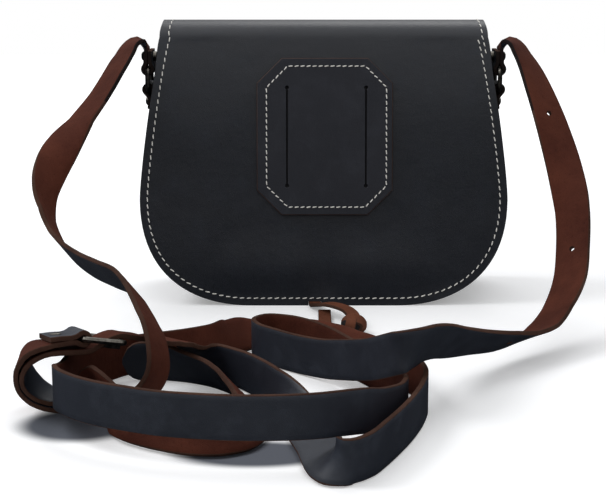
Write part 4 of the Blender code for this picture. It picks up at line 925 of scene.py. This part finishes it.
def ring_fold(side):
    """The strap's end round its ring, on the right for side 1 and on the left for side -1."""
    line = [(-PLY_OFFSET, FOLD_END), (-PLY_OFFSET, 0.0074), (-PLY_OFFSET, FOLD_NECK)]
    line += arc(FOLD_LOOP, 135, 270, 12)
    line += [(PLY_OFFSET, FOLD_NECK), (PLY_OFFSET, 0.0074), (PLY_OFFSET, 0.0098), (PLY_OFFSET, FOLD_END)]
    across = Vector((0, side, 0))
    return [(Vector((side * (RING_X + x), MIDDLE_Y, RING_TOP_Z + z)), across) for x, z in line]


def on_level(level, line, across):
    """Places of (run, rise) on one of the buckle's levels, with a width direction there."""
    return [(level @ Vector((run, 0, rise)), across) for run, rise in line]


def buckle_fold():
    """The short strap's end round the buckle's bar."""
    line = [(-0.017, -PLY_OFFSET - FIT)] + [(run, -PLY_OFFSET) for run in (-0.015, -FOLD_END, -FOLD_NECK)]
    line += arc(FOLD_LOOP, -135, 270, 12)
    line += [(-FOLD_NECK, PLY_OFFSET), (-FOLD_END, PLY_OFFSET), (-0.017, PLY_OFFSET)]
    return on_level(BUCKLE_LEVEL, line, BUCKLE_LEVEL.to_3x3() @ Vector((0, 1, 0)))


def billet_run():
    """The long strap's way through the buckle, over its free bar and under the fold."""
    across = BUCKLE_LEVEL.to_3x3() @ Vector((0, -1, 0))
    below = FOLD_LOOP + STRAP_LEATHER + 3 * FIT
    framed = (
        (BUCKLE_LENGTH + FOLD_LOOP, FOLD_LOOP), (BUCKLE_LENGTH, FOLD_LOOP + FIT),
        (BUCKLE_LENGTH * 0.7, FOLD_LOOP * 0.45), (BUCKLE_LENGTH * 0.4, -FOLD_LOOP * 0.95),
    )
    under = (
        (FOLD_LOOP * 0.8, -below * 1.02), (0, -below * 1.02),
        (-FOLD_END / 2, -below * 0.96), (-FOLD_END, -below * 0.88),
    )
    return on_level(BUCKLE_FRAME, framed, across) + on_level(BUCKLE_LEVEL, under, across)


def spot_at(square, runs, run):
    """The place and the band's upward direction at a run along it."""
    index = next(index for index, length in enumerate(runs) if length >= run)
    point, along, across = square[index]
    return point, along.cross(across)


def lay_strap(name, pairs, round_tip):
    """A strap, its cut edges painted dark as shade next to the ring: the object, then make_band's rows, path
    and runs.
    """
    data, *rows = make_band(
        name, pairs, STRAP_STEPS, STRAP_WIDTH, STRAP_LEATHER, STRAP_SURFACES, round_tip, STRAP_WAVE, SHADED_EDGE_RUN
    )
    return linked(name, data), *rows


def make_long_strap():
    pairs = ring_fold(1) + route_pairs(LONG_FREE_ROUTE) + billet_run() + route_pairs(TAIL_ROUTE)
    long_strap, square, path, runs = lay_strap("long_strap", pairs, True)
    cut_holes(long_strap, [spot_at(square, runs, run) for run in HOLE_RUNS], HOLE_RADIUS, RAW_EDGE)
    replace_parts(long_strap, "strap_long")
    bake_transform(long_strap)


def make_short_strap():
    pairs = ring_fold(-1) + route_pairs(SHORT_FREE_ROUTE) + buckle_fold()
    short_strap, square, path, runs = lay_strap("short_strap", pairs, False)
    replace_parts(short_strap, "strap_short")
    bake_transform(short_strap)


def make_thong():
    """The closing thong's arch, its folded knot and its loose tail."""
    knot = make_knot()
    for name, node, route, far in (
        ("thong_arch", "closure_thong", THONG_ROUTE, "knot"),
        ("thong_tail", "closure_thong_tail", THONG_TAIL_ROUTE, "bare"),
    ):
        data, square, path, runs = make_band(
            name, route_pairs(route), THONG_STEPS, THONG_WIDTH, THONG_LEATHER, THONG_SURFACES, wave=THONG_WAVE
        )
        # The loose tail keeps plain flesh on its lower face; the arch takes the painted shade there
        if far == "bare":
            data.materials[0] = THONG_FLESH
        made = new_object(name, data)
        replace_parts(made, node)


def knot_turn(name, turns, width):
    """One flat thong bent through a list of places round the knot's middle."""
    places = [KNOT_CENTRE + Vector(p) for p in turns]
    pairs = []
    for before, place, after in with_neighbours(places):
        along = (after - before).normalized()
        out = (place - KNOT_CENTRE).normalized()
        pairs.append((place, out.cross(along).normalized()))
    band = make_band(name, pairs, KNOT_STEPS, width, THONG_LEATHER, THONG_SURFACES)
    return new_object(name, band[0])


def make_knot():
    """An overhand knot of flat thong: a core lump, a turn across it and a turn along it."""
    across = []
    lengthways = []
    for step in range(9):
        share = step / 8
        angle = radians(-60 + 300 * share)
        across.append((0.0058 * cos(angle) + 0.0008, -0.003 + 0.0022 * share, 0.004 * sin(angle)))
        angle = radians(-40 + 260 * share)
        lengthways.append((0.0024 - 0.005 * share, 0.0076 * cos(angle), 0.0037 * sin(angle)))
    first = knot_turn("thong_turn_across", across, 0.0085)
    second = knot_turn("thong_turn_along", lengthways, 0.0065)
    builder = bmesh.new()
    bmesh.ops.create_icosphere(builder, subdivisions=4, radius=1.0)
    for vert in builder.verts:
        lump = 1 + 0.14 * noise.noise(vert.co * 1.6)
        vert.co = KNOT_CENTRE + vert.co * KNOT_SIZE * lump
        vert.co.z = max(vert.co.z, 0.0005)
    # The core lump is all painted shade, near black
    data = mesh_data("thong_core", builder, (THONG_PAINTED_SHADE,))
    data.shade_smooth()
    core = new_object("thong_core", data)
    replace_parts(core, "thong_knot")
    for turn in (first, second):
        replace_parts(turn, "thong_knot")
    return [core, first, second]


def make_ring_tabs():
    """Folded leather loops that hold the rings. The left one is the right one turned."""
    low = RING_BAR_HEIGHT - TAB_FOOT_DROP
    wall_x = max(width_at(low, GUSSET_INSET), width_at(RING_BAR_HEIGHT, GUSSET_INSET))
    loop = WIRE + FIT + TAB_LEATHER / 2
    first = wall_x + FIT + TAB_LEATHER / 2
    second = first + TAB_LEATHER + FIT
    line = [(first, low), (first, low + 0.006)]
    line += [(first + loop + x, RING_BAR_HEIGHT + z) for x, z in arc(loop, 180, -225, 16)]
    line += [(second, RING_BAR_HEIGHT - 0.0055), (second, low)]
    pairs = [(Vector((x, MIDDLE_Y, z)), Vector((0, 1, 0))) for x, z in line]
    band = make_band("right_tab_leather", pairs, TAB_STEPS, TAB_WIDTH, TAB_LEATHER, TAB_SURFACES)
    tab = new_object("right_tab_leather", band[0])
    rivet_place = Vector(((first + second) / 2, MIDDLE_Y, RING_BAR_HEIGHT - RIVET_DROP))
    cut_holes(tab, [(rivet_place, Vector((1, 0, 0)))], RIVET_HOLE, DARK_EDGE, 0.009)
    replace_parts(tab, "right_ring_tab")
    turned = tab.data.copy()
    turned.transform(Matrix.Translation((0, 2 * MIDDLE_Y, 0)) @ Matrix.Rotation(pi, 4, "Z"))
    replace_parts(new_object("left_tab_leather", turned), "left_ring_tab")


def finish_hardware():
    for name in (
        "left_tab_rivet", "right_tab_rivet", "left_strap_ring", "right_strap_ring", "left_strap_screw",
        "right_strap_screw", "buckle_frame", "buckle_prong", "buckle_screw", "closure_stud",
    ):
        surfaces = bpy.data.objects[name].data.materials
        surfaces.clear()
        surfaces.append(GUNMETAL)


def product(tree, first, second):
    return add_node(tree, "Math", {0: first, 1: second}, operation="MULTIPLY").outputs[0]


def shader_choice(tree, factor, first, second):
    """The second shader where the factor is 1, the first where it is 0."""
    return add_node(tree, "MixShader", {0: factor, 1: first.outputs[0], 2: second.outputs[0]})


def floor_surface():
    """A white floor with two painted shadows under the pile. It glows for the camera and is dark in gloss."""
    surface, tree, shader = shader_tree("floor_white")
    ray = add_node(tree, "LightPath")
    place = object_place(tree)
    painted_shadow_fades = []
    for centre, reach in PAINTED_SHADOW_PATCHES:
        moved = add_node(tree, "VectorMath", {0: place, 1: centre}, operation="SUBTRACT")
        sized = add_node(tree, "VectorMath", {0: moved.outputs[0], 1: reach}, operation="DIVIDE")
        away = add_node(tree, "VectorMath", {0: sized.outputs[0]}, operation="LENGTH").outputs["Value"]
        fade = add_node(tree, "MapRange", {"Value": away, "From Min": 0.62}, interpolation_type="SMOOTHSTEP")
        painted_shadow_fades.append(fade.outputs["Result"])
    # The floor's colour and its glow go dark inside the painted shadows
    clear_of_painted_shadow = product(tree, *painted_shadow_fades)
    far = add_node(tree, "VectorMath", {0: place}, operation="LENGTH").outputs["Value"]
    glow = add_node(tree, "MapRange", {
        "Value": far, "From Min": 0.25, "From Max": 0.9, "To Min": 0.26, "To Max": 0.6,
    }).outputs["Result"]
    fill(tree, shader, {
        "Base Color": colour_mix(tree, clear_of_painted_shadow, FLOOR_PAINTED_SHADOW, FLOOR_WHITE),
        "Roughness": 0.9,
        "Specular IOR Level": 0.1,
        "Emission Color": WHITE,
        "Emission Strength": product(tree, product(tree, ray.outputs["Is Camera Ray"], clear_of_painted_shadow), glow),
    })
    dim = add_node(tree, "BsdfDiffuse", {"Color": FLOOR_IN_GLOSS})
    chosen = shader_choice(tree, ray.outputs["Is Glossy Ray"], shader, dim)
    tree.links.new(chosen.outputs[0], tree.nodes["Material Output"].inputs["Surface"])
    return surface


def make_world():
    """A white backdrop, weaker as light. In gloss it is dark at the horizon and white above."""
    world = bpy.data.worlds.new("studio")
    bpy.context.scene.world = world
    world.use_nodes = True
    tree = world.node_tree
    tree.nodes.clear()
    ray = add_node(tree, "LightPath")
    place = add_node(tree, "TexCoord").outputs["Generated"]
    height = add_node(tree, "SeparateXYZ", {0: place}).outputs["Z"]
    sky_colour = colour_ramp(tree, height, (0.1, HORIZON_IN_GLOSS), (0.6, WHITE))
    light = add_node(tree, "Background", {"Color": WHITE, "Strength": SOFT_LIGHT})
    backdrop = add_node(tree, "Background", {"Color": WHITE, "Strength": 1.0})
    sky = add_node(tree, "Background", {"Color": sky_colour, "Strength": 1.0})
    unseen = shader_choice(tree, ray.outputs["Is Glossy Ray"], light, sky)
    chosen = shader_choice(tree, ray.outputs["Is Camera Ray"], unseen, backdrop)
    add_node(tree, "OutputWorld", {"Surface": chosen.outputs[0]})


def make_stage():
    data = bpy.data.meshes.new("floor")
    data.from_pydata(FLOOR_CORNERS, [], [(0, 1, 2, 3)])
    data.materials.append(floor_surface())
    made = linked("floor", data)
    make_world()
    for name, place, size, power in LAMPS:
        lamp = bpy.data.lights.new(name, "AREA")
        lamp.shape = "DISK"
        lamp.size = size
        lamp.energy = power
        holder = linked(name, lamp)
        holder.location = place
        holder.rotation_euler = (LAMP_AIM - Vector(place)).to_track_quat("-Z", "Y").to_euler()
    camera = bpy.data.cameras.new("photo_camera")
    camera.sensor_width = SENSOR_WIDTH
    camera.lens = FOCAL_PIXELS / PICTURE_PIXELS * SENSOR_WIDTH
    holder = linked("photo_camera", camera)
    holder.location = CAMERA_PLACE
    holder.rotation_euler = (CAMERA_TILT, 0, 0)
    bpy.context.scene.camera = holder
    bpy.context.scene.view_settings.view_transform = "Standard"


make_stage()
make_long_strap()
make_short_strap()
make_thong()
make_cover()
make_front()
make_gusset()
make_patch()
sew_back()
sew_patch()
sew_flap()
sew_fold()
make_ring_tabs()
finish_hardware()
